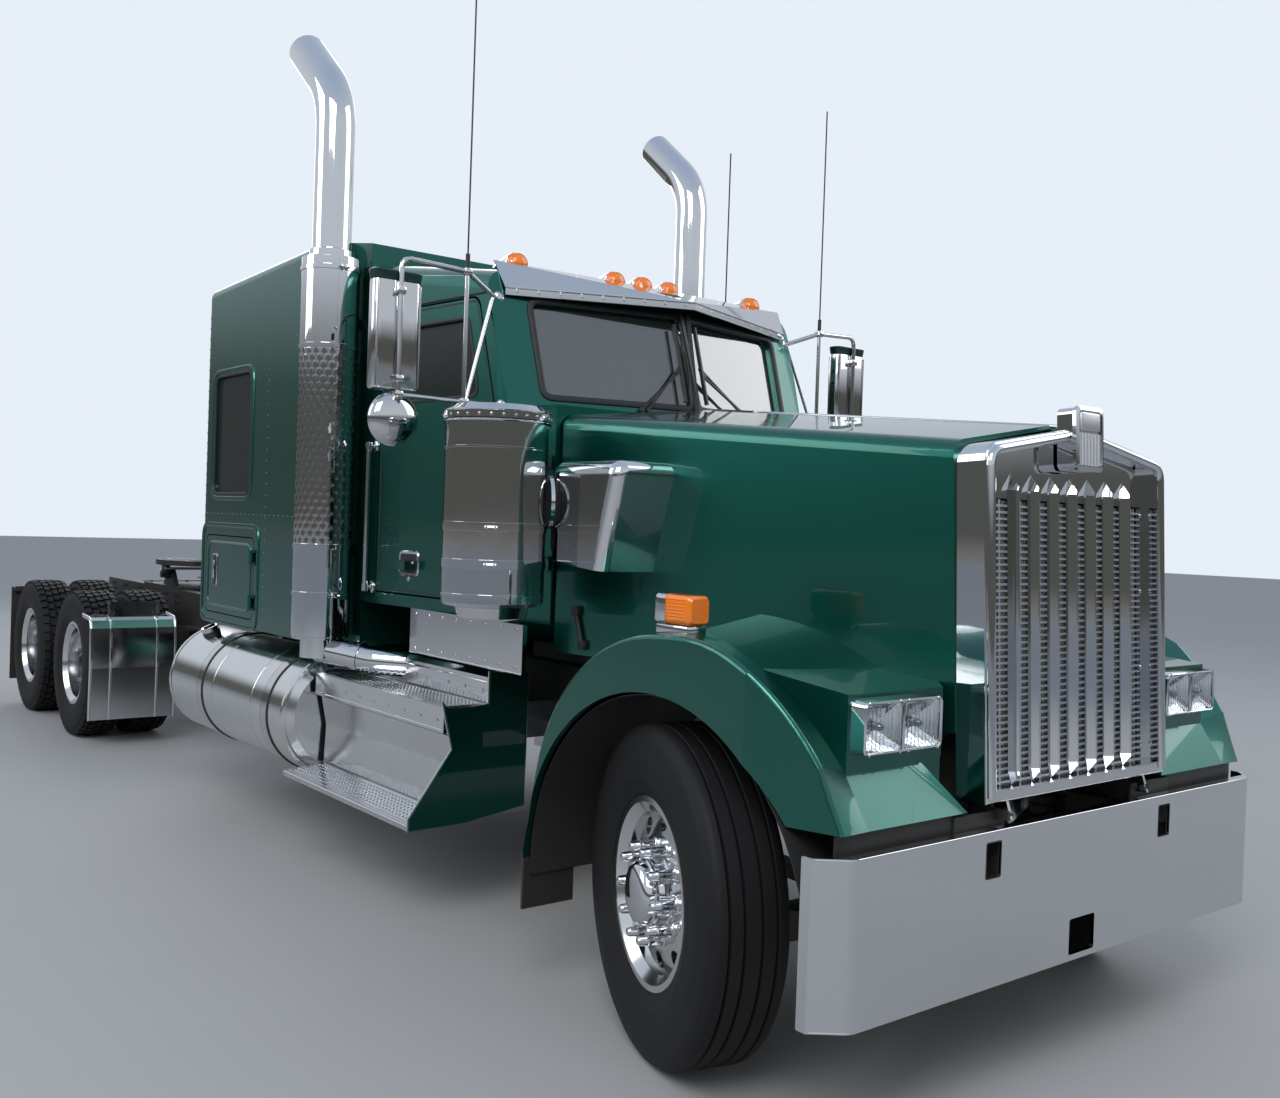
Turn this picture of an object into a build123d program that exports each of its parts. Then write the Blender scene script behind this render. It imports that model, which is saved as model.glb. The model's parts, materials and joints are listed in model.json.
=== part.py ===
from build123d import *
import os
from math import atan2, cos, pi, radians, sin

# Long-nose highway tractor with a sleeper, in millimetres.
# It faces -Y, +Z is up and +X is the driver's side.
# Every length along Y below is counted from the front axle; the last function moves the
# whole truck so that its origin lies on the ground under the middle of its box.

# Running gear
TYRE_R = 527
TYRE_W = 279
RIM_FLANGE_R = 299
RIM_W = 230
FRONT_WHEEL_X = 1009.5
DUAL_OUTER_X = 1070
DUAL_SPACING = 343
TANDEM_Y = 7330
TANDEM_HALF = 660
STEER_AT_REST = -17.2
KINGPIN_X = 920
KINGPIN_R = 20
SPINDLE_R = 40
DRUM_R = 205
RUN_GAP = 0.05
AXLE_BEAM_DROP = 125
LEAF_HALF_LENGTHS = (620, 480, 340)
LEAF_T = 16

# Frame
RAIL_X = 432
RAIL_H = 270
RAIL_FLANGE = 89
RAIL_T = 10
RAIL_TOP = 1050
FRAME_FRONT_Y = -625
FRAME_REAR_Y = 8560
CROSSMEMBER_YS = (-560, 2300, 3000, 4100, 5500, 6250, 7330, 8500)
ENGINE_Y = (-330, 1000)
ENGINE_HALF_W = 330
ENGINE_Z = (800, 1720)

# Bumper
BUMPER_Y = -765
BUMPER_HALF_W = 1175
BUMPER_BOTTOM = 352
BUMPER_TOP = 815
BUMPER_T = 6
BUMPER_WRAP = 75

# Nose
GRILLE_Y = -750
GRILLE_HALF_W = 497
GRILLE_BOTTOM = 890
GRILLE_SIDE_TOP = 1958
GRILLE_PEAK = 2040
GRILLE_DEPTH = 115
GRILLE_LEAN = 55
GRILLE_RIM = 36
GRILLE_CORNER_R = 60
BAR_COUNT = 7
BAR_PITCH = 105
BAR_W = 34
BAR_TOP = GRILLE_SIDE_TOP - 78
MESH_TOP = GRILLE_SIDE_TOP - 158
SLAT_PITCH = 20
SLAT_T = 7
SLAT_DEPTH = 14
MESH_BACKSET = 47
HOOD_REAR_Y = 1100
HOOD_WALL = 14
HOOD_PIVOT_Y = -742
HOOD_PIVOT_Z = 848

# Front fenders
FENDER_X = 1180
FENDER_WALL = 22
ARCH_R = 675
ARCH_Z = 487
FENDER_REAR_BOTTOM = 500
FENDER_REAR_Y = 690
CREST_R = 14
NOSE_X = 1087
TAPER_Y = -420
TOE_Z = 868
NOSE_Z = 1016
# stations across: x, rear shoulder z, rear arc z, crown, front arc point, nose corner, toe y
FENDER_ROWS = (
    (1180, 800, 1175, (-60, 1345), (-420, 1290), (-668, 1062), -726),
    (980, 815, 1188, (0, 1352), (-345, 1228), (-618, NOSE_Z), -716),
    (470, 860, 1235, (150, 1402), (-240, 1318), (-618, NOSE_Z), -716),
)
SLANT_OUT = (-0.46, -0.85, 0.12)
POD_X = 980
POD_IN_X = 565
POD_TOP = 1228
POD_FACE_Y = -625
LAMP_W = 345
LAMP_H = 158
LAMP_Z = 1058
BEZEL_DEPTH = 55
BEZEL_RIM = 14

# Cab
CAB_WALL = 46
CAB_FLOOR_Z = 1270
COWL_Y = 1112
CAB_BACK_Y = 2500
CAB_REAR_HALF_W = 950
COWL_HALF_W = 800
DOOR_Y = (1450, 2330)
DOOR_BOTTOM = 1330
DOOR_TOP = 2610
DOOR_GAP = 8
SCREEN_BASE_Z = 2170
SCREEN_TOP_Z = 2610
GLASS_T = 6
VISOR_Z = 2650
VISOR_TOP = 2776
ROOF_LAMP_XS = (-690, -160, 0, 160, 690)
ROOF_LAMP_Z = 2782

# Mirrors
MIRROR_X = (1200, 1416)
MIRROR_Y = 1475
MIRROR_Z = (2170, 2640)

# Sleeper
SLEEPER_HALF_W = 1084
SLEEPER_WALL = 40
SLEEPER_FRONT_Y = 2520
SLEEPER_FLARE = 230
SLEEPER_REAR_Y = 4320
SLEEPER_FLOOR_Z = RAIL_TOP
SLEEPER_TOP_FRONT = 3000
SLEEPER_TOP_REAR = 2945
LOCKER_Y = (3500, 4220)
LOCKER_Z = (SLEEPER_FLOOR_Z + SLEEPER_WALL + 10, 1530)
SIDE_WINDOW_Y = (3600, 4140)
SIDE_WINDOW_Z = (1770, 2430)

# Exhaust, air cleaners, tanks and steps
STACK_X = 1105
STACK_Y = 2585
MUFFLER_R = 131
STACK_R = 90
CANISTER_X = 1120
CANISTER_Y = 1030
CANISTER_R = 192
CANISTER_Z = (1360, 2105)
INTAKE_X = 945
INTAKE_Y = (505, 895)
INTAKE_Z = (1530, 1905)
TANK_R = 305
TANK_X = 895
TANK_Z = 680
TANK_Y = (2760, 4450)
STEP_Y = (1480, 2730)
STEP_X = 1200
STEP_HIGH_X = 1052
STEP_LOW_Z = 448
STEP_HIGH_Z = 905
STEP_LID_Z = 1040

# Fenders of the drive wheels
QUARTER_Y = 5990
QUARTER_X = (668, 1245)

# Fifth wheel
COUPLER_Y = 7130
COUPLER_TOP = 1265
COUPLER_PIVOT_Z = 1150
KINGPIN_BORE_R = 25.6


def block(x, y, z):
    """A box from its three (low, high) pairs."""
    size = [b - a for a, b in (x, y, z)]
    centre = [(a + b) / 2 for a, b in (x, y, z)]
    return Pos(*centre) * Box(*size)


def round_bar(start, end, radius):
    """A round bar from one point to another."""
    a, b = Vector(*start), Vector(*end)
    plane = Plane(origin=a, z_dir=b - a)
    return extrude(plane * Circle(radius), amount=(b - a).length)


def ring_bar(start, end, radius, bore):
    """A round bar with a bore through it."""
    return round_bar(start, end, radius) - round_bar(start, end, bore)


def across(outline, x0, x1):
    """An outline drawn in (y, z), given thickness along X."""
    plane = Plane(origin=(x0, 0, 0), x_dir=(0, 1, 0), z_dir=(1, 0, 0))
    return extrude(plane * outline, amount=x1 - x0)


def along(outline, y0, y1):
    """An outline drawn in (x, z), given thickness along Y."""
    plane = Plane(origin=(0, y1, 0), x_dir=(1, 0, 0), z_dir=(0, -1, 0))
    return extrude(plane * outline, amount=y1 - y0)


def upright(outline, z0, z1):
    """An outline drawn in (x, y), given thickness along Z."""
    return extrude(Pos(0, 0, z0) * outline, amount=z1 - z0)


def poly(*points):
    return make_face(Polyline(*points, close=True))


def mirrored(shape):
    return mirror(shape, about=Plane.YZ)


def both(shape):
    """The shape and its mirror image on the other side of the truck."""
    return shape + mirrored(shape)


def revolve_z(points, x, y):
    """A turned form on an upright axis from (radius, z) points."""
    face = Plane(origin=(x, y, 0), x_dir=(1, 0, 0), z_dir=(0, -1, 0)) * poly(*points)
    return revolve(face, Axis((x, y, 0), (0, 0, 1)))


def revolve_x(points, y, z):
    """A turned form on a sideways axis from (x, radius) points."""
    face = Plane(origin=(0, y, z), x_dir=(1, 0, 0), z_dir=(0, -1, 0)) * poly(*points)
    return revolve(face, Axis((0, y, z), (1, 0, 0)))


def hinge(x, y, z0, z1, leaf, side):
    """An upright exposed hinge: the pin with its end lugs, and the barrel between them."""
    pin_r, barrel_r, lug = 7, 14, 14
    pin = round_bar((x, y, z0), (x, y, z1), pin_r)
    lugs = Part()
    for z in (z0, z1 - lug):
        lugs += round_bar((x, y, z), (x, y, z + lug), barrel_r)
        lugs += block(sorted((x, x - side * leaf)), (y - 46, y - 4), (z, z + lug))
    barrel = ring_bar((x, y, z0 + lug + 1), (x, y, z1 - lug - 1), barrel_r, pin_r + RUN_GAP)
    tab = block(sorted((x - side * 9, x - side * leaf)), (y - 2, y + 60), (z0 + lug + 1, z1 - lug - 1))
    tab -= round_bar((x, y, z0), (x, y, z1), pin_r + 3)
    return pin + lugs, barrel + tab


# Frame, bumper and driveline

def frame_rails():
    low = RAIL_TOP - RAIL_H
    rail = block((RAIL_X - RAIL_T, RAIL_X), (FRAME_FRONT_Y, FRAME_REAR_Y), (low, RAIL_TOP))
    for z in (low, RAIL_TOP - RAIL_T):
        rail += block((RAIL_X - RAIL_FLANGE, RAIL_X), (FRAME_FRONT_Y, FRAME_REAR_Y), (z, z + RAIL_T))
    frame = both(rail)
    for y in CROSSMEMBER_YS:
        web = block((-RAIL_X + RAIL_T, RAIL_X - RAIL_T), (y - 5, y + 5), (low + 70, RAIL_TOP - 30))
        flange = block((-RAIL_X + RAIL_T, RAIL_X - RAIL_T), (y - 40, y + 5), (low + 70, low + 80))
        frame += web + flange + Pos(0, 0, RAIL_H - 110) * flange
    # cab mounts
    for y in (1350, 2350):
        frame += both(block((RAIL_X - 80, RAIL_X), (y - 45, y + 45), (RAIL_TOP, CAB_FLOOR_Z)))
    # hood pivot lugs and the bumper brackets
    lug = across(poly((FRAME_FRONT_Y + 120, low + 20), (FRAME_FRONT_Y + 120, HOOD_PIVOT_Z + 18),
                      (HOOD_PIVOT_Y - 12, HOOD_PIVOT_Z + 14), (HOOD_PIVOT_Y - 12, HOOD_PIVOT_Z - 14),
                      (HOOD_PIVOT_Y + 30, HOOD_PIVOT_Z - 20), (FRAME_FRONT_Y - 30, low + 10)),
                 RAIL_X - 40, RAIL_X - 28)
    lug += block((RAIL_X - 40, RAIL_X), (FRAME_FRONT_Y, FRAME_FRONT_Y + 120), (low, low + RAIL_T))
    pin = round_bar((RAIL_X - 60, HOOD_PIVOT_Y, HOOD_PIVOT_Z), (RAIL_X - 28, HOOD_PIVOT_Y, HOOD_PIVOT_Z), 10)
    bumper_back = BUMPER_Y + BUMPER_T + 0.2
    bracket = block((RAIL_X - 8, RAIL_X), (bumper_back, FRAME_FRONT_Y), (low - 180, low + 20))
    bracket += block((RAIL_X - 8, RAIL_X), (FRAME_FRONT_Y, FRAME_FRONT_Y + 200), (low - 180, low))
    bracket += block((RAIL_X - 70, RAIL_X), (bumper_back, bumper_back + 10), (low - 180, low + 20))
    frame += both(lug + pin + bracket)
    return frame


def front_bumper():
    """Deep polished plate: flat face, ends swept back, corners rounded."""
    outer = poly((-BUMPER_HALF_W, BUMPER_Y + BUMPER_WRAP), (-BUMPER_HALF_W + 95, BUMPER_Y),
                 (BUMPER_HALF_W - 95, BUMPER_Y), (BUMPER_HALF_W, BUMPER_Y + BUMPER_WRAP),
                 (BUMPER_HALF_W, BUMPER_Y + 130), (-BUMPER_HALF_W, BUMPER_Y + 130))
    solid = upright(outer, BUMPER_BOTTOM, BUMPER_TOP)
    corners = solid.edges().filter_by(Axis.Z).filter_by_position(Axis.Y, BUMPER_Y - 1, BUMPER_Y + 1)
    solid = fillet(corners, 60)
    inner = Pos(0, BUMPER_T, 0) * scale(solid, by=((BUMPER_HALF_W - BUMPER_T) / BUMPER_HALF_W, 1, 1))
    shell = solid - Pos(0, 0, -BUMPER_T) * inner - Pos(0, 0, BUMPER_T) * inner
    shell -= block((-2000, 2000), (BUMPER_Y + 110, BUMPER_Y + 300), (0, 2000))
    lip = solid & block((-2000, 2000), (BUMPER_Y - 1, BUMPER_Y + 40), (BUMPER_TOP - BUMPER_T, BUMPER_TOP))
    low_z = (BUMPER_BOTTOM, BUMPER_BOTTOM + BUMPER_T)
    foot = solid & block((-2000, 2000), (BUMPER_Y - 1, BUMPER_Y + 40), low_z)
    shell += lip + foot
    for x in (-480, 480):
        shell -= block((x - 34, x + 34), (BUMPER_Y - 9, BUMPER_Y + 90), (680, 782))
    shell -= block((-66, 66), (BUMPER_Y - 9, BUMPER_Y + 90), (375, 480))
    return shell


def front_axle():
    """Dropped beam with an eye round each kingpin, on two leaf packs."""
    z0, z1 = TYRE_R - AXLE_BEAM_DROP - 90, TYRE_R - AXLE_BEAM_DROP
    end = KINGPIN_X - 20
    beam = along(poly((-end, TYRE_R - 40), (-end, TYRE_R + 40), (-640, z1 + 30), (-560, z1), (560, z1),
                      (640, z1 + 30), (end, TYRE_R + 40), (end, TYRE_R - 40), (650, z0 + 10),
                      (570, z0 - 10), (-570, z0 - 10), (-650, z0 + 10)), -50, 50)
    flute = poly((-530, z0 + 14), (-530, z1 - 24), (530, z1 - 24), (530, z0 + 14))
    beam -= along(flute, 14, 60) + along(flute, -60, -14)
    beam += both(round_bar((KINGPIN_X, 0, TYRE_R - 60), (KINGPIN_X, 0, TYRE_R + 60), 52))
    beam -= both(round_bar((KINGPIN_X, 0, 0), (KINGPIN_X, 0, 1000), KINGPIN_R + RUN_GAP))
    leaf_x = (RAIL_X - 82, RAIL_X - 12)
    seat_z = z1 + 40
    pack = across(leaf_outline(seat_z), *leaf_x)
    pack += block(leaf_x, (-70, 70), (z1 - 5, seat_z + 4))
    for y in (-595, 595):
        pack += block(leaf_x, (y - 25, y + 25), (seat_z + leaf_rise(570) + 30, RAIL_TOP - RAIL_H))
    return beam + both(pack)


def leaf_rise(y):
    """Camber of the leaf pack above its middle."""
    return 60 * (y / LEAF_HALF_LENGTHS[0]) ** 2


def leaf_outline(seat_z):
    """Three stacked leaves of falling length, as one stepped outline in (y, z)."""
    half = []
    for i, length in enumerate(reversed(LEAF_HALF_LENGTHS)):
        low = seat_z + i * LEAF_T
        half += [(length, low + leaf_rise(length)), (length, low + LEAF_T + leaf_rise(length))]
    top = seat_z + len(LEAF_HALF_LENGTHS) * LEAF_T
    half += [(LEAF_HALF_LENGTHS[-1], top + leaf_rise(LEAF_HALF_LENGTHS[-1]))]
    return poly((0, seat_z), *half, (0, top), *[(-y, z) for y, z in reversed(half)])


def drive_axles():
    """Two live axles with their centre housings, air springs and trailing arms."""
    tube_end = DUAL_OUTER_X - DUAL_SPACING / 2
    axles = Part()
    for y in (TANDEM_Y - TANDEM_HALF, TANDEM_Y + TANDEM_HALF):
        axle = round_bar((-tube_end, y, TYRE_R), (tube_end, y, TYRE_R), 62)
        axle += revolve_x([(-210, 0), (-210, 70), (-120, 190), (120, 190), (210, 70), (210, 0)], y, TYRE_R)
        axle += round_bar((0, y - 330, TYRE_R + 30), (0, y, TYRE_R + 30), 110)
        arm = block((RAIL_X - 70, RAIL_X - 10), (y - 560, y + 240), (TYRE_R + 62, TYRE_R + 100))
        arm += block((RAIL_X - 70, RAIL_X - 10), (y - 560, y - 500), (TYRE_R + 62, RAIL_TOP - RAIL_H))
        arm += block((RAIL_X - 70, RAIL_X - 10), (y - 60, y + 60), (TYRE_R, TYRE_R + 62))
        bag_x, bag_y = RAIL_X - 60, y + 180
        spring = round_bar((bag_x, bag_y, TYRE_R + 100), (bag_x, bag_y, RAIL_TOP - RAIL_H), 78)
        spring -= block((RAIL_X, 2000), (y, y + 400), (0, 3000))
        axles += axle + both(arm + spring)
    return axles


def drive_shafts():
    y0, y1 = 2050, TANDEM_Y - TANDEM_HALF - 330
    z0, z1 = 800, TYRE_R + 30
    shaft = round_bar((0, y0 - 20, z0), (0, y1 + 20, z1), 55) & block((-90, 90), (y0, y1), (0, 2000))
    for y, z in ((y0 + 60, z0 - 4), (y1 - 60, z1 + 4)):
        shaft += round_bar((0, y - 40, z), (0, y + 40, z), 78)
    y2 = TANDEM_Y - TANDEM_HALF + 190
    y3 = TANDEM_Y + TANDEM_HALF - 330
    return shaft + round_bar((0, y2, z1), (0, y3, z1), 50)


def engine():
    """Engine and gearbox as one plain mass between the rails."""
    mass = block((-ENGINE_HALF_W, ENGINE_HALF_W), ENGINE_Y, ENGINE_Z)
    mass += block((-250, 250), (ENGINE_Y[1], 1150), (690, 1180))
    mass += block((-250, 250), (1150, 2050), (690, 1100))
    mount = block((ENGINE_HALF_W, RAIL_X - RAIL_T), (300, 420), (870, 950))
    mount += block((250, RAIL_X - RAIL_T), (1850, 1950), (870, 930))
    return mass + both(mount)


def radiator():
    low = RAIL_TOP - 150
    core = block((-400, 400), (-500, -410), (RAIL_TOP, 1850))
    core += block((-330, 330), (-500, -410), (low, RAIL_TOP))
    core += block((-330, 330), (-515, -395), (low - 30, low)) + block((-425, 425), (-515, -395), (1850, 1890))
    return core + both(block((400, 425), (-515, -395), (RAIL_TOP, 1850)))


# Wheels

def rim_profile(c):
    """Barrel of a rim in (x, radius): two flanges, bead seats and the well."""
    half, r = RIM_W / 2, RIM_FLANGE_R
    return [(c - half, r), (c - half, r - 20), (c - half + 30, r - 48), (c + half - 30, r - 48),
            (c + half, r - 20), (c + half, r), (c + half - 14, r), (c + half - 40, r - 22),
            (c - half + 40, r - 22), (c - half + 14, r)]


def front_rim():
    """Polished disc wheel with ten hand holes, its hub and brake drum, on the +X side."""
    c = FRONT_WHEEL_X
    disc_x = c + 62
    rim = revolve_x(rim_profile(c), 0, TYRE_R)
    disc = revolve_x([(disc_x - 12, 0), (disc_x - 12, 175), (disc_x - 30, 256), (disc_x - 8, 256),
                      (disc_x + 10, 178), (disc_x + 10, 0)], 0, TYRE_R)
    for i in range(10):
        a = 2 * pi * (i + 0.5) / 10
        y, z = 217 * cos(a), TYRE_R + 217 * sin(a)
        disc -= round_bar((disc_x - 90, y, z), (disc_x + 90, y, z), 28)
    hub = revolve_x([(disc_x + 10, 0), (disc_x + 10, 104), (disc_x + 30, 92), (disc_x + 70, 84),
                     (disc_x + 86, 60), (disc_x + 92, 0)], 0, TYRE_R)
    drum = revolve_x([(KINGPIN_X + 60, 55), (KINGPIN_X + 60, DRUM_R), (disc_x - 12, DRUM_R - 25),
                      (disc_x - 12, 55)], 0, TYRE_R)
    wheel = rim + disc + hub + drum
    wheel -= round_bar((0, 0, TYRE_R), (disc_x + 30, 0, TYRE_R), SPINDLE_R + RUN_GAP)
    return wheel


def tyre(centre_x, y):
    """A radial truck tyre: straight sidewalls, chamfered shoulders and a flat tread."""
    half = TYRE_W / 2
    r, ri = TYRE_R, RIM_FLANGE_R
    seat = RIM_W / 2 - 41
    points = [(-seat, ri - 21.7), (-seat - 27, ri + 0.3), (-108, ri + 0.3), (-half, ri + 62),
              (-half, ri + 120), (-half + 20, r - 22), (-half + 38, r)]
    points += [(-x, rad) for x, rad in reversed(points)]
    return revolve_x([(centre_x + x, rad) for x, rad in points], y, TYRE_R)


def drive_rims(y):
    """Two dished disc wheels back to back on one hub, on the +X side."""
    inner_x = DUAL_OUTER_X - DUAL_SPACING
    rims = Part()
    for c in (DUAL_OUTER_X, inner_x):
        rims += revolve_x(rim_profile(c), y, TYRE_R)
    mid = (DUAL_OUTER_X + inner_x) / 2
    dish = revolve_x([(mid - 12, 0), (mid - 12, 175), (mid - 92, 258), (mid - 92, 264), (mid - 66, 264),
                      (mid, 196), (mid + 66, 264), (mid + 92, 264), (mid + 92, 258), (mid + 12, 175),
                      (mid + 12, 0)], y, TYRE_R)
    for i in range(10):
        a = 2 * pi * (i + 0.5) / 10
        hy, hz = y + 217 * cos(a), TYRE_R + 217 * sin(a)
        dish -= round_bar((mid - 120, hy, hz), (mid + 120, hy, hz), 28)
    hub = revolve_x([(mid + 12, 0), (mid + 12, 118), (mid + 60, 104), (mid + 150, 96), (mid + 172, 78),
                     (mid + 176, 0)], y, TYRE_R)
    rims += dish + hub
    drum = [(inner_x - 60, 75), (inner_x - 60, DRUM_R), (mid - 12, DRUM_R), (mid - 12, 75)]
    rims += revolve_x(drum, y, TYRE_R)
    rims -= round_bar((0, y, TYRE_R), (mid + 0.5, y, TYRE_R), 62 + RUN_GAP)
    return rims


def steering_knuckle():
    """Kingpin, yoke, spindle and arm of the +X side, set straight ahead."""
    knuckle = round_bar((KINGPIN_X, 0, TYRE_R - 95), (KINGPIN_X, 0, TYRE_R + 95), KINGPIN_R)
    for z in (TYRE_R - 95, TYRE_R + 61):
        knuckle += round_bar((KINGPIN_X, 0, z), (KINGPIN_X, 0, z + 34), 44)
        knuckle += block((KINGPIN_X, KINGPIN_X + 56), (-40, 40), (z, z + 34))
    knuckle += block((KINGPIN_X + 52, KINGPIN_X + 58), (-90, 90), (TYRE_R - 95, TYRE_R + 95))
    knuckle += round_bar((KINGPIN_X + 52, 0, TYRE_R), (FRONT_WHEEL_X + 90, 0, TYRE_R), SPINDLE_R)
    knuckle += block((KINGPIN_X, KINGPIN_X + 44), (30, 190), (TYRE_R - 95, TYRE_R - 65))
    return knuckle


# Hood and nose

def nose_plane(offset):
    """The leaning plane of the nose, a given distance behind its front face."""
    lean = atan2(GRILLE_LEAN, GRILLE_PEAK - GRILLE_BOTTOM)
    origin = Vector(0, GRILLE_Y, GRILLE_BOTTOM) + Vector(0, cos(lean), -sin(lean)) * offset
    return Plane(origin=origin, x_dir=(1, 0, 0), z_dir=(0, -cos(lean), sin(lean)))


def nose_outline(inset):
    """Shell outline in the leaning plane, from its bottom edge: square foot, gabled top."""
    w = GRILLE_HALF_W - inset
    side = GRILLE_SIDE_TOP - GRILLE_BOTTOM - inset * 0.7
    peak = GRILLE_PEAK - GRILLE_BOTTOM - inset
    outline = poly((-w, inset), (w, inset), (w, side), (0, peak), (-w, side))
    tops = outline.vertices().group_by(Axis.Y)[1]
    return fillet(tops, max(GRILLE_CORNER_R - inset, 12))


def hood_section(y, shoulder_w, foot_w, foot_z, shoulder_z, crown_z, grow, lift):
    """One cross-section of the hood: sides, rounded shoulders and a softly gabled crown."""
    plane = Plane(origin=(0, y, 0), x_dir=(1, 0, 0), z_dir=(0, -1, 0))
    w, f = shoulder_w - grow, foot_w - grow
    side_z, top_z = shoulder_z - lift, crown_z - lift
    outline = poly((-f, foot_z), (f, foot_z), (w, side_z), (0, top_z), (-w, side_z))
    groups = outline.vertices().sort_by(Axis.Y)
    outline = fillet(groups[2:4], 62 - grow / 2)
    return plane * outline


def hood_form(grow, lift):
    # y, shoulder half width, foot half width, foot z, shoulder z, crown z
    rows = ((-640, 497, 497, 895, 1962, 2046), (HOOD_REAR_Y, 775, 790, 895, 2100, 2185))
    sections = [hood_section(*row, grow, lift) for row in rows]
    return loft(sections, ruled=True)


def hood_panel():
    shell = hood_form(0, 0)
    inner = hood_form(HOOD_WALL, HOOD_WALL)
    shell -= inner
    front = extrude(nose_plane(GRILLE_DEPTH) * Rectangle(3000, 6000), amount=900)
    shell -= front
    # the sides stop above the wheel and rise to the cowl
    shell -= across(poly((-900, 0), (-900, 1085), (250, 1085), (470, 1165), (HOOD_REAR_Y + 50, 1165),
                         (HOOD_REAR_Y + 50, 0)), -1500, 1500)
    return shell


def grille_shell():
    """Polished surround: rounded rim, flat reveal and the header panel above the grille."""
    outer = extrude(nose_plane(0) * nose_outline(0), amount=-GRILLE_DEPTH)
    front_edges = outer.faces().sort_by(Axis.Y)[0].edges()
    outer = fillet(front_edges, 12)
    opening = extrude(nose_plane(-20) * nose_outline(GRILLE_RIM), amount=-GRILLE_DEPTH - 40)
    shell = outer - opening
    # reveal and header step back behind the rim
    reveal = extrude(nose_plane(MESH_BACKSET) * nose_outline(GRILLE_RIM - 2), amount=-SLAT_DEPTH)
    window = poly((-GRILLE_HALF_W + 68, 0), (GRILLE_HALF_W - 68, 0),
                  (GRILLE_HALF_W - 68, MESH_TOP - GRILLE_BOTTOM),
                  (-GRILLE_HALF_W + 68, MESH_TOP - GRILLE_BOTTOM))
    reveal -= extrude(nose_plane(MESH_BACKSET - 20) * window, amount=-60)
    shell = shell + reveal
    # bare badge block on the peak
    badge_z = GRILLE_PEAK - GRILLE_BOTTOM - 40
    badge = extrude(nose_plane(-26) * (Pos(0, badge_z) * RectangleRounded(150, 200, 22)),
                    amount=-66)
    shell += badge
    # hood pivot ears
    ear = across(poly((HOOD_PIVOT_Y - 14, HOOD_PIVOT_Z - 14), (HOOD_PIVOT_Y + 16, HOOD_PIVOT_Z - 14),
                      (GRILLE_Y + 100, GRILLE_BOTTOM + 20), (GRILLE_Y + 20, GRILLE_BOTTOM + 20)),
                 RAIL_X - 54, RAIL_X - 42)
    ear -= round_bar((0, HOOD_PIVOT_Y, HOOD_PIVOT_Z), (900, HOOD_PIVOT_Y, HOOD_PIVOT_Z), 10 + RUN_GAP)
    shell += both(ear)
    return shell


def grille_bars():
    """Upright spear-ended bars, each with a ridge down its middle."""
    bars = Part()
    bottom, top = GRILLE_RIM + 1, BAR_TOP - GRILLE_BOTTOM
    for i in range(BAR_COUNT):
        x = (i - (BAR_COUNT - 1) / 2) * BAR_PITCH
        w = BAR_W / 2
        spear = poly((x, bottom), (x + w, bottom + 40), (x + w, top - 52), (x, top), (x - w, top - 52),
                     (x - w, bottom + 40))
        bars += extrude(nose_plane(MESH_BACKSET - 0.3) * spear, amount=30, taper=24)
    return bars


def grille_mesh():
    """Fine level slats on upright back strips, behind the bars."""
    half = GRILLE_HALF_W - 68
    low = GRILLE_RIM + 2
    high = MESH_TOP - GRILLE_BOTTOM - 2
    count = int((high - low) / SLAT_PITCH)
    mesh = Part()
    for i in range(count):
        slat = Pos(0, low + SLAT_PITCH * (i + 0.5), 0) * Rectangle(2 * half - 0.6, SLAT_T)
        mesh += extrude(nose_plane(MESH_BACKSET) * slat, amount=-SLAT_DEPTH)
    for i in range(BAR_COUNT + 1):
        x = (i - BAR_COUNT / 2) * BAR_PITCH
        strip = Pos(x, (low + high) / 2, 0) * Rectangle(10, high - low)
        mesh += extrude(nose_plane(MESH_BACKSET + 4) * strip, amount=-SLAT_DEPTH)
    return mesh


def fender_section(row, inset):
    """Side outline of a front fender at one of its stations, in (y, z)."""
    x, shoulder_z, rear_z, crown, mid, nose, toe_y = row
    d = inset
    rear_low, rear_high = (FENDER_REAR_Y - d, FENDER_REAR_BOTTOM), (FENDER_REAR_Y - 68 - d, shoulder_z)
    crown = (crown[0], crown[1] - d)
    nose, toe = (nose[0] + d, nose[1]), (toe_y + d, TOE_Z)
    lines = (Line(rear_low, rear_high) + ThreePointArc(rear_high, (405 - d * 0.7, rear_z - d * 0.7), crown)
             + ThreePointArc(crown, (mid[0] + d * 0.7, mid[1] - d * 0.7), nose)
             + Line(nose, toe) + Line(toe, (toe[0], FENDER_REAR_BOTTOM))
             + Line((toe[0], FENDER_REAR_BOTTOM), rear_low))
    return Plane(origin=(x, 0, 0), x_dir=(0, 1, 0), z_dir=(1, 0, 0)) * make_face(lines)


def fender_form(inset):
    """Fender solid: crest at its outer edge, a shallow valley, then the rise to the hood."""
    first = (FENDER_X - inset,) + FENDER_ROWS[0][1:]
    return loft([fender_section(row, inset) for row in (first,) + FENDER_ROWS[1:]], ruled=True)


def pod_form(inset, x_in):
    """Lamp pod: nearly level top and an upright face."""
    front = POD_FACE_Y + inset
    return across(poly((front, 900), (front, POD_TOP - inset), (-300, POD_TOP + 30 - inset),
                       (60, POD_TOP + 100 - inset), (60, 900)), x_in, POD_X - inset)


def nose_taper(inset):
    """What is cut away where the fender narrows in plan towards its nose."""
    x = FENDER_X - inset
    return upright(poly((FENDER_X + 60, TAPER_Y), (x, TAPER_Y),
                        (NOSE_X - inset, -735), (NOSE_X - inset, -800),
                        (FENDER_X + 60, -800)), 0, 2000)


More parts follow.
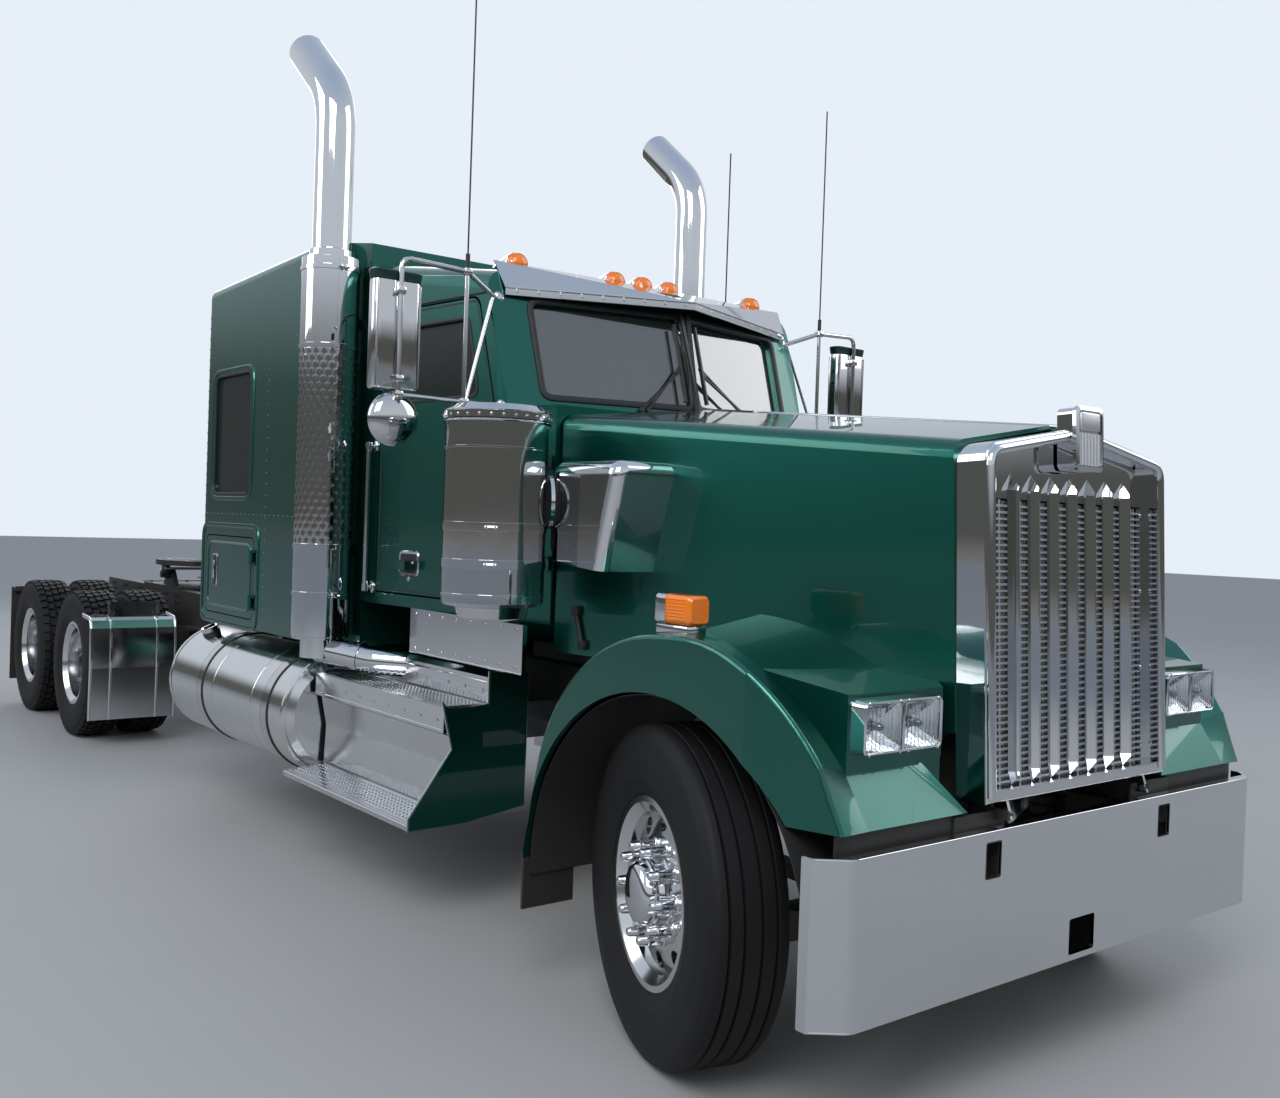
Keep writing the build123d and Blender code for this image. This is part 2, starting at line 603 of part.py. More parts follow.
def front_fenders():
    """Swept front fenders with the lamp pods and a rounded crest, both sides."""
    outer = fender_form(0) - nose_taper(0)
    crest = outer.edges().filter_by(lambda e: e.center().Z > TOE_Z and e.center().X > NOSE_X - 20
                                    and abs(e.tangent_at(0.5).X) < 0.45 and e.center().Y > -710)
    body = fillet(crest, CREST_R) + pod_form(0, POD_IN_X - 130)
    hollow = fender_form(FENDER_WALL) - nose_taper(FENDER_WALL) + pod_form(FENDER_WALL, POD_IN_X + 40)
    body -= hollow - block((0, POD_IN_X + 40), (-900, -440), (0, 2000))
    # arch opening and the level front edge
    body -= round_bar((0, 0, ARCH_Z), (2000, 0, ARCH_Z), ARCH_R)
    body -= block((0, 2000), (-1000, 0), (0, TOE_Z))
    # the face falls back beside the nose, and a slanted facet below it does the same
    body -= upright(poly((POD_IN_X, -900), (POD_IN_X, POD_FACE_Y), (GRILLE_HALF_W - 5, POD_FACE_Y + 80),
                         (GRILLE_HALF_W - 5, -900)), NOSE_Z + 8, 1500)
    slant = Plane(origin=(668, -625, 1013), x_dir=(-121, -85, -143), z_dir=SLANT_OUT)
    corner = block((400, 800), (-900, -500), (800, NOSE_Z + 8))
    body -= extrude(slant * Rectangle(900, 900), amount=300) & corner
    # meets the hood side and the nose shell
    body -= hood_form(0, 0)
    body -= block((0, GRILLE_HALF_W), (-900, -500), (0, 2000))
    return both(body.solids().sort_by(SortBy.VOLUME)[-1])


def fender_flaps():
    """Rubber flap under the rear edge of each front fender."""
    y = FENDER_REAR_Y - FENDER_WALL
    return both(block((960, FENDER_X - 4), (y + 4, y + 16), (320, FENDER_REAR_BOTTOM)))


def headlamps():
    """Paired rectangular lamps in a deep bright bezel on the face of each pod."""
    x0, x1 = POD_X - 8 - LAMP_W, POD_X - 8
    back, face = POD_FACE_Y, POD_FACE_Y - BEZEL_DEPTH
    z0, z1 = LAMP_Z, LAMP_Z + LAMP_H
    bezel = fillet(block((x0, x1), (face, back), (z0, z1)).edges().filter_by(Axis.Y), 18)
    width = (LAMP_W - 3 * BEZEL_RIM) / 2
    for i in range(2):
        lx = x0 + BEZEL_RIM + i * (width + BEZEL_RIM)
        bezel -= block((lx, lx + width), (face - 5, face + 18), (z0 + BEZEL_RIM, z1 - BEZEL_RIM))
    return both(bezel)


def turn_lamps():
    body = block((1000, 1100), (-75, 110), (1362, 1470))
    body = fillet(body.edges().filter_by(Axis.X), 14)
    body += block((1010, 1090), (-60, 95), (1325, 1364))
    return both(body - fender_form(0))


def intake_boxes():
    """Bright air intake housing on each hood side: rounded top, raked front edge."""
    (low, high), (front, rear) = INTAKE_Z, INTAKE_Y
    outline = poly((front, high), (rear, high), (rear, low), (front + 95, low - 25))
    side = across(outline, 640, INTAKE_X)
    outer = side.edges().filter_by(lambda e: e.center().Z > high - 1 and e.center().X > INTAKE_X - 1)
    side = fillet(outer, 55)
    front = side.edges().filter_by(Axis.X).filter_by_position(Axis.Z, high - 1, high + 1).sort_by(Axis.Y)[:1]
    side = fillet(front, 45)
    return both(side - hood_form(0, 0))


def intake_boots():
    """Rubber boot from each canister, ending just short of the housing on the hood."""
    (low, high), rear = INTAKE_Z, INTAKE_Y[1]
    duct_z = (low + high) / 2 + 30
    boot = block((800, INTAKE_X - 12), (rear + 6, rear + 34), (low + 10, high - 12))
    boot = fillet(boot.edges().filter_by(Axis.Y), 50)
    duct = round_bar((CANISTER_X, CANISTER_Y, duct_z), (850, rear + 10, duct_z), 100)
    boot += duct & block((780, 1200), (rear + 6, 1200), (low, high))
    boot -= round_bar((CANISTER_X, CANISTER_Y, 0), (CANISTER_X, CANISTER_Y, 3000), CANISTER_R)
    return both(boot.solids().sort_by(Axis.Y)[0])


# Cab

def cab_form(inset):
    """Outer form of the cab: tapered plan, sloping roof and the raked two-piece screen."""
    i = inset
    plan = poly((0, COWL_Y + i), (COWL_HALF_W - i, COWL_Y + i), (870 - i, DOOR_Y[0]),
                (CAB_REAR_HALF_W - i, 2330), (CAB_REAR_HALF_W - i, CAB_BACK_Y - i), (0, CAB_BACK_Y - i))
    half = upright(plan, CAB_FLOOR_Z + i, 3100)
    roof = across(poly((1000, 2690 - i), (1480, 2720 - i), (CAB_BACK_Y + 50, 2880 - i),
                       (CAB_BACK_Y + 50, 3300), (1000, 3300)), -10, 1200)
    half -= roof
    half -= screen_half_space(i)
    outer_top = half.edges().filter_by(lambda e: e.center().Z > 2650 and e.center().X > 500
                                       and abs(e.tangent_at(0.5).Z) < 0.5 and abs(e.tangent_at(0.5).X) < 0.5)
    half = fillet(outer_top, 90 - i)
    return half + mirrored(half)


def screen_plane(offset):
    """Plane of the +X screen, facing forward and outward, moved back by an offset."""
    a = Vector(0, 1190, SCREEN_BASE_Z)
    b = Vector(690, 1350, SCREEN_BASE_Z)
    c = Vector(0, 1320, SCREEN_TOP_Z)
    normal = (b - a).cross(c - a).normalized()
    if normal.Y > 0:
        normal = normal * -1
    return Plane(origin=a - normal * offset, x_dir=(b - a).normalized(), z_dir=normal)


def screen_half_space(offset):
    """Everything ahead of the screen and above the cowl."""
    ahead = extrude(screen_plane(offset) * (Pos(500, 500) * Rectangle(2400, 1600)), amount=900)
    return ahead & block((-20, 1500), (0, 2600), (SCREEN_BASE_Z - 30 - offset, 3500))


def screen_pane(shrink):
    """Outline of one pane in the screen plane."""
    width, height = 716, 452
    low, high = 26 + shrink, height - shrink
    outline = poly((14 + shrink, low), (width - shrink, low),
                   (width + 38 - shrink, high), (14 + shrink, high))
    return fillet(outline.vertices().sort_by(Axis.X)[2:4], 45)


def door_outline(gap):
    """Door opening in (y, z), with the raked front edge of its window frame."""
    y0, y1 = DOOR_Y
    outline = poly((y0 - gap, DOOR_BOTTOM - gap), (y1 + gap, DOOR_BOTTOM - gap), (y1 + gap, DOOR_TOP + gap),
                   (y0 + 150 - gap, DOOR_TOP + gap), (y0 + 40 - gap, SCREEN_BASE_Z + 60), (y0 - gap, 2080))
    return fillet(outline.vertices().group_by(Axis.Y)[-1], 60)


def door_window(shrink):
    y0, y1 = DOOR_Y
    s = shrink
    outline = poly((y0 + 130 + s, 2195 + s), (y1 - 75 - s, 2195 + s), (y1 - 75 - s, DOOR_TOP - 80 - s),
                   (y0 + 215 + s, DOOR_TOP - 80 - s))
    return fillet(outline.vertices(), 40)


def cab_skin():
    return cab_form(0) - cab_form(CAB_WALL)


def cab_shell():
    shell = cab_skin()
    shell -= both(across(door_outline(DOOR_GAP), 500, 1500))
    pane = extrude(screen_plane(-60) * screen_pane(0), amount=-260)
    shell -= both(pane)
    # doorway through the back wall into the sleeper
    shell -= block((-420, 420), (CAB_BACK_Y - 120, CAB_BACK_Y + 60), (CAB_FLOOR_Z + CAB_WALL, 2450))
    # lugs of the door hinges
    for pin, barrel in door_hinges():
        shell += pin + mirrored(pin)
    return shell


def door_hinges():
    x = 870 + 14
    y = DOOR_Y[0] - DOOR_GAP / 2
    return [hinge(x, y, z, z + 110, 22, 1) for z in (1430, 1960)]


def door():
    panel = cab_skin() & across(door_outline(0), 500, 1500)
    panel -= across(door_window(0), 500, 1500)
    for pin, barrel in door_hinges():
        panel += barrel
    handle = block((925, 975), (2010, 2100), (1440, 1480))
    panel += handle
    return panel


def door_glass():
    mid = (cab_form(CAB_WALL / 2 - GLASS_T / 2) - cab_form(CAB_WALL / 2 + GLASS_T / 2))
    return mid & across(door_window(0), 500, 1500)


def windshield():
    pane = extrude(screen_plane(CAB_WALL / 2) * screen_pane(0), amount=-GLASS_T)
    return both(pane)


def plate(thick, *points):
    """A flat sheet through three or more corners given in space."""
    corners = [Vector(*p) for p in points]
    a, b, c = corners[:3]
    plane = Plane(origin=a, x_dir=(b - a).normalized(), z_dir=(b - a).cross(c - a).normalized())
    local = [plane.to_local_coords(p) for p in corners]
    return extrude(plane * poly(*[(p.X, p.Y) for p in local]), amount=thick / 2, both=True)


def sun_visor():
    """Bright visor: folded sheet from the roof lamps down to a turned lip over the screen."""
    lip, end = (0, 1232, VISOR_Z + 14), (815, 1500, VISOR_Z)
    rear_mid, rear_end = (0, 1568, VISOR_TOP), (835, 1568, VISOR_TOP - 8)
    half = plate(4, lip, end, rear_end) + plate(4, lip, rear_end, rear_mid)
    half += plate(4, lip, end, (815, 1500, VISOR_Z - 30), (0, 1232, VISOR_Z - 16))
    half &= block((0, 1200), (1000, 2000), (2400, 3000))
    return both((half - cab_form(0)).solids().sort_by(SortBy.VOLUME)[-1])


def roof_lamps():
    """Five bullet lamps lying on the roof edge, each with a tapered tail."""
    lamps = Part()
    for x in ROOF_LAMP_XS:
        profile = poly((x, 1575), (x + 30, 1580), (x + 46, 1602), (x + 48, 1650), (x + 16, 1800), (x, 1806))
        lamps += Pos(0, 0, ROOF_LAMP_Z) * revolve(profile, Axis((x, 0, 0), (0, 1, 0)))
    return lamps - cab_form(0)


def seats():
    seat = Part()
    for x in (-470, 470):
        seat += block((x - 250, x + 250), (1680, 2180), (1560, 1700))
        seat += across(poly((2130, 1690), (2270, 1690), (2370, 2330), (2270, 2350)), x - 240, x + 240)
        seat += block((x - 120, x + 120), (1800, 2100), (CAB_FLOOR_Z + CAB_WALL, 1560))
    return seat


def dashboard():
    dash = block((-740, 740), (1260, 1500), (1780, 2120)) & cab_form(CAB_WALL + 1)
    column = round_bar((470, 1450, 1880), (470, 1640, 1960), 32)
    plane = Plane(origin=(470, 1640, 1960), z_dir=Vector(0, 190, 80).normalized())
    wheel = extrude(plane * (Circle(230) - Circle(205)), amount=24) + extrude(plane * Circle(60), amount=24)
    wheel += extrude(plane * Rectangle(420, 40), amount=14) + extrude(plane * Rectangle(40, 420), amount=14)
    return dash + column + wheel


def strip(a, b, width):
    """Flat bar outline between two points of a plane."""
    (ax, ay), (bx, by) = a, b
    length = ((bx - ax) ** 2 + (by - ay) ** 2) ** 0.5
    nx, ny = (ay - by) / length * width / 2, (bx - ax) / length * width / 2
    return poly((ax + nx, ay + ny), (bx + nx, by + ny), (bx - nx, by - ny), (ax - nx, ay - ny))


def wipers():
    """Blades parked beside the centre post, each on a pair of thin arms."""
    result = Part()
    for side, pivot in ((1, 385), (-1, 245)):
        plane = screen_plane(-9)
        wiper = extrude(plane * strip((62, 45), (84, 410), 12), amount=16)
        for shift in (0, 34):
            wiper += extrude(plane * strip((pivot + shift, -4), (70 + shift / 3, 215 - shift), 8), amount=9)
            wiper += extrude(screen_plane(4) * (Pos(pivot + shift, -4) * Circle(11)), amount=24)
        wiper += extrude(plane * strip((66, 218), (96, 176), 16), amount=12)
        wiper -= cab_form(0)
        result += wiper if side > 0 else mirrored(wiper)
    return result


def grab_rails():
    x, y = 985, 2375
    rail = round_bar((x, y, 1330), (x, y, 2010), 12)
    for z in (1342, 1998):
        rail += round_bar((CAB_REAR_HALF_W, y, z), (x, y, z), 10)
    return both(rail)


def tube(radius, *points):
    """Round tube along straight runs, with a ball at each corner."""
    run = round_bar(points[0], points[1], radius)
    for a, b in zip(points[1:], points[2:]):
        run += round_bar(a, b, radius) + Pos(*a) * Sphere(radius)
    return run


def mirrors():
    """Polished mirror head on a braced tube frame, with the round mirror below it."""
    x0, x1 = MIRROR_X
    mid, y, z0, z1 = (x0 + x1) / 2, MIRROR_Y, MIRROR_Z[0], MIRROR_Z[1]
    head = fillet(block((x0, x1), (y + 12, y + 82), (z0, z1)).edges().filter_by(Axis.Z), 30)
    strut_x, post = 1025, 1455
    frame = tube(11, (mid, y, z0 - 110), (mid, y, z1 + 50), (strut_x, post, z1 + 35), (838, 1530, z1 - 40))
    frame += tube(11, (mid, y, z0 - 18), (strut_x, post, z0 - 22), (860, 1425, z0 - 30))
    frame += round_bar((strut_x, post, z1 + 35), (strut_x, post, z0 - 22), 9)
    frame += round_bar((900, 1505, z1 - 15), (strut_x, post, z0 - 22), 9)
    for z in (z0 + 40, z1 - 60):
        frame += block((mid - 14, mid + 14), (y - 5, y + 20), (z, z + 26))
    convex = round_bar((mid, y + 2, z0 - 112), (mid, y + 40, z0 - 112), 108)
    return both(head + frame + convex - cab_form(0))


def aerials():
    """A whip on each mirror frame and one on the roof."""
    foot = MIRROR_Z[1] + 35 + 11.6
    whips = both(round_bar((1025, 1455, foot), (1025, 1455, foot + 60), 9)
                 + round_bar((1025, 1455, foot), (1025, 1455, 3800), 3.5))
    x, y, top = 600, 1700, 2800
    roof = round_bar((x, y, top - 100), (x, y, top), 12) + round_bar((x, y, top), (x, y, 3550), 3.5)
    return whips + (roof - cab_form(0))


def sill_panels():
    strip = block((905, 925), (COWL_Y, 2030), (1075, CAB_FLOOR_Z))
    return both(strip)


# Sleeper

def sleeper_form(inset):
    i = inset
    wide_y = SLEEPER_FRONT_Y + SLEEPER_FLARE
    plan = poly((0, SLEEPER_FRONT_Y + i), (930 - i, SLEEPER_FRONT_Y + i), (950 - i, wide_y - 50 + i),
                (SLEEPER_HALF_W - i, wide_y + i), (SLEEPER_HALF_W - i, SLEEPER_REAR_Y - i),
                (0, SLEEPER_REAR_Y - i))
    half = upright(plan, SLEEPER_FLOOR_Z + i, 3300)
    half -= across(poly((2300, SLEEPER_TOP_FRONT - 60 - i), (wide_y - 30, SLEEPER_TOP_FRONT - i),
                        (SLEEPER_REAR_Y + 60, SLEEPER_TOP_REAR - i),
                        (SLEEPER_REAR_Y + 60, 3500), (2300, 3500)),
                   -10, 1300)
    corner = half.edges().filter_by(Axis.Z).filter_by_position(Axis.Y, SLEEPER_REAR_Y - i - 1, SLEEPER_REAR_Y)
    corner = corner.filter_by(lambda e: e.center().X > 500)
    half = fillet(corner, 70 - i)
    top = half.edges().filter_by(lambda e: e.center().Z > 2880 - i and e.center().X > 1000
                                 and abs(e.tangent_at(0.5).Y) > 0.7)
    half = fillet(top, 55 - i / 2)
    return half + mirrored(half)


def sleeper_shell():
    shell = sleeper_form(0) - sleeper_form(SLEEPER_WALL)
    shell -= block((-420, 420), (SLEEPER_FRONT_Y - 40, SLEEPER_FRONT_Y + 120), (CAB_FLOOR_Z + CAB_WALL, 2450))
    shell -= both(across(locker_outline(6), 900, 1400))
    shell -= both(across(sleeper_window(), 900, 1400))
    for pin, barrel in locker_hinges():
        shell += pin + mirrored(pin)
    return shell


def locker_outline(gap):
    (y0, y1), (z0, z1) = LOCKER_Y, LOCKER_Z
    outline = poly((y0 - gap, z0 - gap), (y1 + gap, z0 - gap), (y1 + gap, z1 + gap), (y0 - gap, z1 + gap))
    return fillet(outline.vertices(), 40 + gap)


def locker_hinges():
    x = SLEEPER_HALF_W + 14
    return [hinge(x, LOCKER_Y[0] - 3, z, z + 80, 24, 1) for z in (1150, 1390)]


def luggage_door():
    panel = (sleeper_form(0) - sleeper_form(SLEEPER_WALL)) & across(locker_outline(0), 900, 1400)
    for pin, barrel in locker_hinges():
        panel += barrel
    return panel


def sleeper_window():
    (y0, y1), (z0, z1) = SIDE_WINDOW_Y, SIDE_WINDOW_Z
    return fillet(poly((y0, z0), (y1, z0), (y1, z1), (y0, z1)).vertices(), 60)


def sleeper_glass():
    x = SLEEPER_HALF_W - SLEEPER_WALL / 2
    return both(across(sleeper_window(), x - GLASS_T / 2, x + GLASS_T / 2))


# Outside equipment

def exhaust_stacks():
    """Muffler in its guard, the tall stack with its swept tip, and the elbow at the foot."""
    x, y = STACK_X, STACK_Y
    bend_z, bend_r, turn, straight = 3480, 350, 50, 300
    stack = round_bar((x, y, 2875), (x, y, bend_z), STACK_R)
    centre = Plane(origin=(x, y, bend_z), z_dir=(0, 0, 1))
    axis = Axis((x, y + bend_r, bend_z), (-1, 0, 0))
    stack += revolve(centre * Circle(STACK_R), axis, turn)
    t = radians(turn)
    start = (x, y + bend_r * (1 - cos(t)), bend_z + bend_r * sin(t))
    end = (x, start[1] + straight * sin(t), start[2] + straight * cos(t))
    stack += round_bar(start, end, STACK_R)
    stack -= round_bar((x, start[1] + 60 * sin(t), start[2] + 60 * cos(t)),
                       (x, end[1] + 40 * sin(t), end[2] + 40 * cos(t)), STACK_R - 4)
    stack += round_bar((x, y, 1090), (x, y, 2875), MUFFLER_R)
    stack += round_bar((x, y, 1000), (x, y, 1090), STACK_R)
    stack += round_bar((x, y, 1040), (x - 170, y - 240, 1000), 64)
    # two straps to the sleeper corner
    for z in (1500, 2600):
        stack += block((900, x), (2640, 2670), (z - 25, z + 25)) - sleeper_form(0)
    return both(stack)


def air_cleaners():
    z0, z1 = CANISTER_Z
    r = CANISTER_R
    can = revolve_z([(0, z0 - 60), (60, z0 - 60), (128, z0 - 46), (140, z0 - 8), (r - 8, z0), (r, z0 + 12),
                     (r, z1 - 62), (r + 8, z1 - 60), (r + 8, z1 - 34),
                     (r, z1 - 30), (r - 24, z1 - 6), (0, z1)],
                    CANISTER_X, CANISTER_Y)
    bracket = block((COWL_HALF_W - 10, CANISTER_X), (1130, 1160), (1480, 1540))
    bracket += block((COWL_HALF_W - 10, CANISTER_X), (1130, 1160), (1880, 1940))
    bracket -= cab_form(0)
    return both(can + bracket)


def fuel_tanks():
    y0, y1 = TANK_Y
    dome = 45
    profile = poly((0, y0), (TANK_R - 60, y0 + 6), (TANK_R - 18, y0 + 24), (TANK_R, y0 + dome),
                   (TANK_R, y1 - dome), (TANK_R - 18, y1 - 24), (TANK_R - 60, y1 - 6), (0, y1))
    tank = revolve(Pos(TANK_X, 0, TANK_Z) * profile, Axis((TANK_X, 0, TANK_Z), (0, 1, 0)))
    top = TANK_Z + TANK_R
    cap = round_bar((TANK_X + 120, y1 - 200, top - 60), (TANK_X + 150, y1 - 200, top + 12), 48)
    return both(tank + cap)


def tank_straps():
    straps = Part()
    for y in (3000, 3930):
        ring = round_bar((TANK_X, y - 34, TANK_Z), (TANK_X, y + 34, TANK_Z), TANK_R + 6)
        ring -= round_bar((TANK_X, y - 40, TANK_Z), (TANK_X, y + 40, TANK_Z), TANK_R)
        arm = block((RAIL_X, TANK_X - 150), (y - 34, y + 34), (TANK_Z - 300, RAIL_TOP - 40))
        arm -= round_bar((TANK_X, y - 40, TANK_Z), (TANK_X, y + 40, TANK_Z), TANK_R + 3)
        straps += ring + arm
    return both(straps)


def cab_steps():
    """Polished step housing on each rail: low tread, recessed riser, upper tread and lid."""
    y0, y1 = STEP_Y
    low, high, lid = STEP_LOW_Z, STEP_HIGH_Z, STEP_LID_Z
    outline = poly((650, low - 2), (950, low - 22), (STEP_X, low - 28),
                   (STEP_X, low), (1000, low + 14), (992, low + 200),
                   (1022, high - 105), (STEP_HIGH_X, high - 105), (STEP_HIGH_X, high),
                   (842, high), (842, lid - 22),
                   (825, lid), (650, lid))
    box = along(outline, y0, y1)
    inner = poly((600, low + 10), (950, low - 6), (980, low), (978, low + 200),
                 (1008, high - 90), (1030, high - 90),
                 (1030, high - 14), (828, high - 14), (828, lid - 26), (815, lid - 14), (600, lid - 14))
    box -= along(inner, y0 + 12, y1 - 12)
    for y in (y0 + 150, y1 - 220):
        box += block((RAIL_X, 700), (y, y + 70), (RAIL_TOP - 330, RAIL_TOP - 170))
    box += block((640, 700), (y0 + 12, y1 - 12), (RAIL_TOP - 350, lid - 14))
    # plate that closes the front end
    plate_outline = poly((650, low + 12), (950, low - 30), (STEP_X + 4, low - 32), (STEP_X + 4, low + 24),
                         (1015, high - 170), (STEP_HIGH_X + 14, high + 30), (STEP_HIGH_X - 20, high - 10),
                         (848, high + 6), (848, lid + 6), (650, lid + 6))
    box += along(plate_outline, y0 - 5, y0)
    return both(box)


def deck_plate():
    return block((-400, 400), (SLEEPER_REAR_Y + 40, 5450), (RAIL_TOP, RAIL_TOP + 12))


def quarter_profile(t):
    """Upright sheet ahead of the drive tyres with its top rolled back, t thick."""
    y, low, top = QUARTER_Y, 205, 905
    return poly((y, low), (y - 12, 560), (y, top - 70), (y + 22, top - 18),
                (y + 60, top), (y + 210, top + 12),
                (y + 210, top + 12 - t), (y + 64, top - t), (y + 22 + t, top - 24), (y + t, top - 74),
                (y + t - 12, 560), (y + t, low))


def quarter_fenders():
    """Bright quarter fenders with a beaded outer edge, on arms, with a bare plate on top."""
    x0, x1 = QUARTER_X
    sheet = across(quarter_profile(8), x0, x1)
    sheet += across(quarter_profile(18), x1 - 20, x1)
    sheet += block((760, 1110), (QUARTER_Y + 86, QUARTER_Y + 92), (900, 1010))
    arm = block((RAIL_X, x1 - 60), (QUARTER_Y + 4, QUARTER_Y + 44), (800, 836))
    return both(sheet + arm)


def rear_mud_flaps():
    y = FRAME_REAR_Y - 20
    bar = block((RAIL_X, 1200), (y - 40, y), (930, 970))
    flap = block((610, 1215), (y, y + 12), (190, 965))
    return both(bar + flap)


def tail_lamps():
    y = FRAME_REAR_Y
    lamps = Part()
    for x in (-330, -200, 200, 330):
        lamps += block((x - 55, x + 55), (y - 55, y + 35), (860, 970))
    return lamps


def fifth_wheel_base():
    """Slide plate and two pedestals with the coupler's pivot pins."""
    base = block((-RAIL_X, RAIL_X), (COUPLER_Y - 420, COUPLER_Y + 420), (RAIL_TOP, RAIL_TOP + 16))
    foot = across(poly((COUPLER_Y - 130, RAIL_TOP + 16), (COUPLER_Y + 130, RAIL_TOP + 16),
                       (COUPLER_Y + 36, COUPLER_PIVOT_Z + 34),
                       (COUPLER_Y - 36, COUPLER_PIVOT_Z + 34)), 330, 370)
    pin = round_bar((330, COUPLER_Y, COUPLER_PIVOT_Z), (420, COUPLER_Y, COUPLER_PIVOT_Z), 20)
    return base + both(foot + pin)


def fifth_wheel_plate():
    """Coupler plate with its rear throat, kingpin bore and side ears."""
    top = Pos(0, COUPLER_Y, COUPLER_TOP - 40) * extrude(Circle(455), amount=40)
    top -= block((-600, 600), (COUPLER_Y - 700, COUPLER_Y - 350), (0, 2000))
    mouth_y = COUPLER_Y + 520
    throat = poly((-30, COUPLER_Y + 40), (-130, mouth_y), (130, mouth_y), (30, COUPLER_Y + 40))
    top -= upright(throat, 0, 2000)
    jaw = Pos(0, COUPLER_Y, COUPLER_TOP - 90) * extrude(Circle(80), amount=60)
    slot = poly((-16, COUPLER_Y), (-30, COUPLER_Y + 200), (30, COUPLER_Y + 200), (16, COUPLER_Y))
    jaw -= upright(slot, 0, 2000)
    top = top + jaw - round_bar((0, COUPLER_Y, 0), (0, COUPLER_Y, 2000), KINGPIN_BORE_R)
    ear = across(poly((COUPLER_Y - 60, COUPLER_TOP - 30), (COUPLER_Y + 60, COUPLER_TOP - 30),
                      (COUPLER_Y + 34, COUPLER_PIVOT_Z - 30),
                      (COUPLER_Y - 34, COUPLER_PIVOT_Z - 30)), 378, 412)
    ear -= round_bar((0, COUPLER_Y, COUPLER_PIVOT_Z), (900, COUPLER_Y, COUPLER_PIVOT_Z), 20 + RUN_GAP)
    return top + both(ear)


def steered(shape, side):
    """A front wheel piece of the +X side, mirrored if asked, turned to the parked angle."""
    if side < 0:
        shape = mirrored(shape)
    pivot = Pos(side * KINGPIN_X, 0, 0)
    return pivot * Rot(0, 0, STEER_AT_REST) * Pos(-side * KINGPIN_X, 0, 0) * shape


def all_parts():
    parts = {
        "frame_rails": frame_rails(), "front_bumper": front_bumper(), "front_axle": front_axle(),
        "drive_axles": drive_axles() + drive_shafts(), "engine": engine(),
        "radiator": radiator(), "fuel_tanks": fuel_tanks(), "tank_straps": tank_straps(),
        "cab_steps": cab_steps(), "cab_shell": cab_shell(), "windshield": windshield(),
        "sun_visor": sun_visor(), "roof_lamps": roof_lamps(), "wipers": wipers(), "seats": seats(),
        "dashboard": dashboard(), "grab_rails": grab_rails(), "mirrors": mirrors(),
        "sill_panels": sill_panels(), "sleeper_shell": sleeper_shell(), "sleeper_glass": sleeper_glass(),
        "exhaust_stacks": exhaust_stacks(), "air_cleaners": air_cleaners(), "deck_plate": deck_plate(),
        "quarter_fenders": quarter_fenders(), "rear_mud_flaps": rear_mud_flaps(), "tail_lamps": tail_lamps(),
        "fifth_wheel_base": fifth_wheel_base(), "fifth_wheel_plate": fifth_wheel_plate(),
        "hood_panel": hood_panel(), "front_fenders": front_fenders(), "grille_shell": grille_shell(),
        "grille_bars": grille_bars(), "grille_mesh": grille_mesh(), "headlamps": headlamps(),
        "turn_lamps": turn_lamps(), "intake_boxes": intake_boxes(), "intake_boots": intake_boots(),
        "fender_flaps": fender_flaps(), "aerials": aerials(),
    }
    rear = (("front", TANDEM_Y - TANDEM_HALF), ("rear", TANDEM_Y + TANDEM_HALF))
    pieces = (("door", door()), ("door_glass", door_glass()), ("luggage_door", luggage_door()))
    wheel = (("steering_knuckle", steering_knuckle()), ("front_rim", front_rim()),
             ("front_tyre", tyre(FRONT_WHEEL_X, 0)))
    for side, word in ((1, "left"), (-1, "right")):
        for name, shape in pieces:
            parts[f"{name}_{word}"] = shape if side > 0 else mirrored(shape)
        for name, shape in wheel:
            parts[f"{name}_{word}"] = steered(shape, side)
        for place, y in rear:
            rims = drive_rims(y)
            tyres = tyre(DUAL_OUTER_X, y) + tyre(DUAL_OUTER_X - DUAL_SPACING, y)
            parts[f"drive_rims_{place}_{word}"] = rims if side > 0 else mirrored(rims)
            parts[f"drive_tyres_{place}_{word}"] = tyres if side > 0 else mirrored(tyres)
    return parts


def write_parts():
    os.makedirs("parts", exist_ok=True)
    parts = all_parts()
    rear_y = max(shape.bounding_box().max.Y for shape in parts.values())
    shift = -(BUMPER_Y + rear_y) / 2
    print("shift along Y", round(shift, 3), "length", round(rear_y - BUMPER_Y, 1))
    for name, shape in parts.items():
        export_step(Pos(0, shift, 0) * shape, f"parts/{name}.step")


write_parts()
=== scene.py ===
import json
import math

import bmesh
import bpy
from mathutils import Matrix, Vector


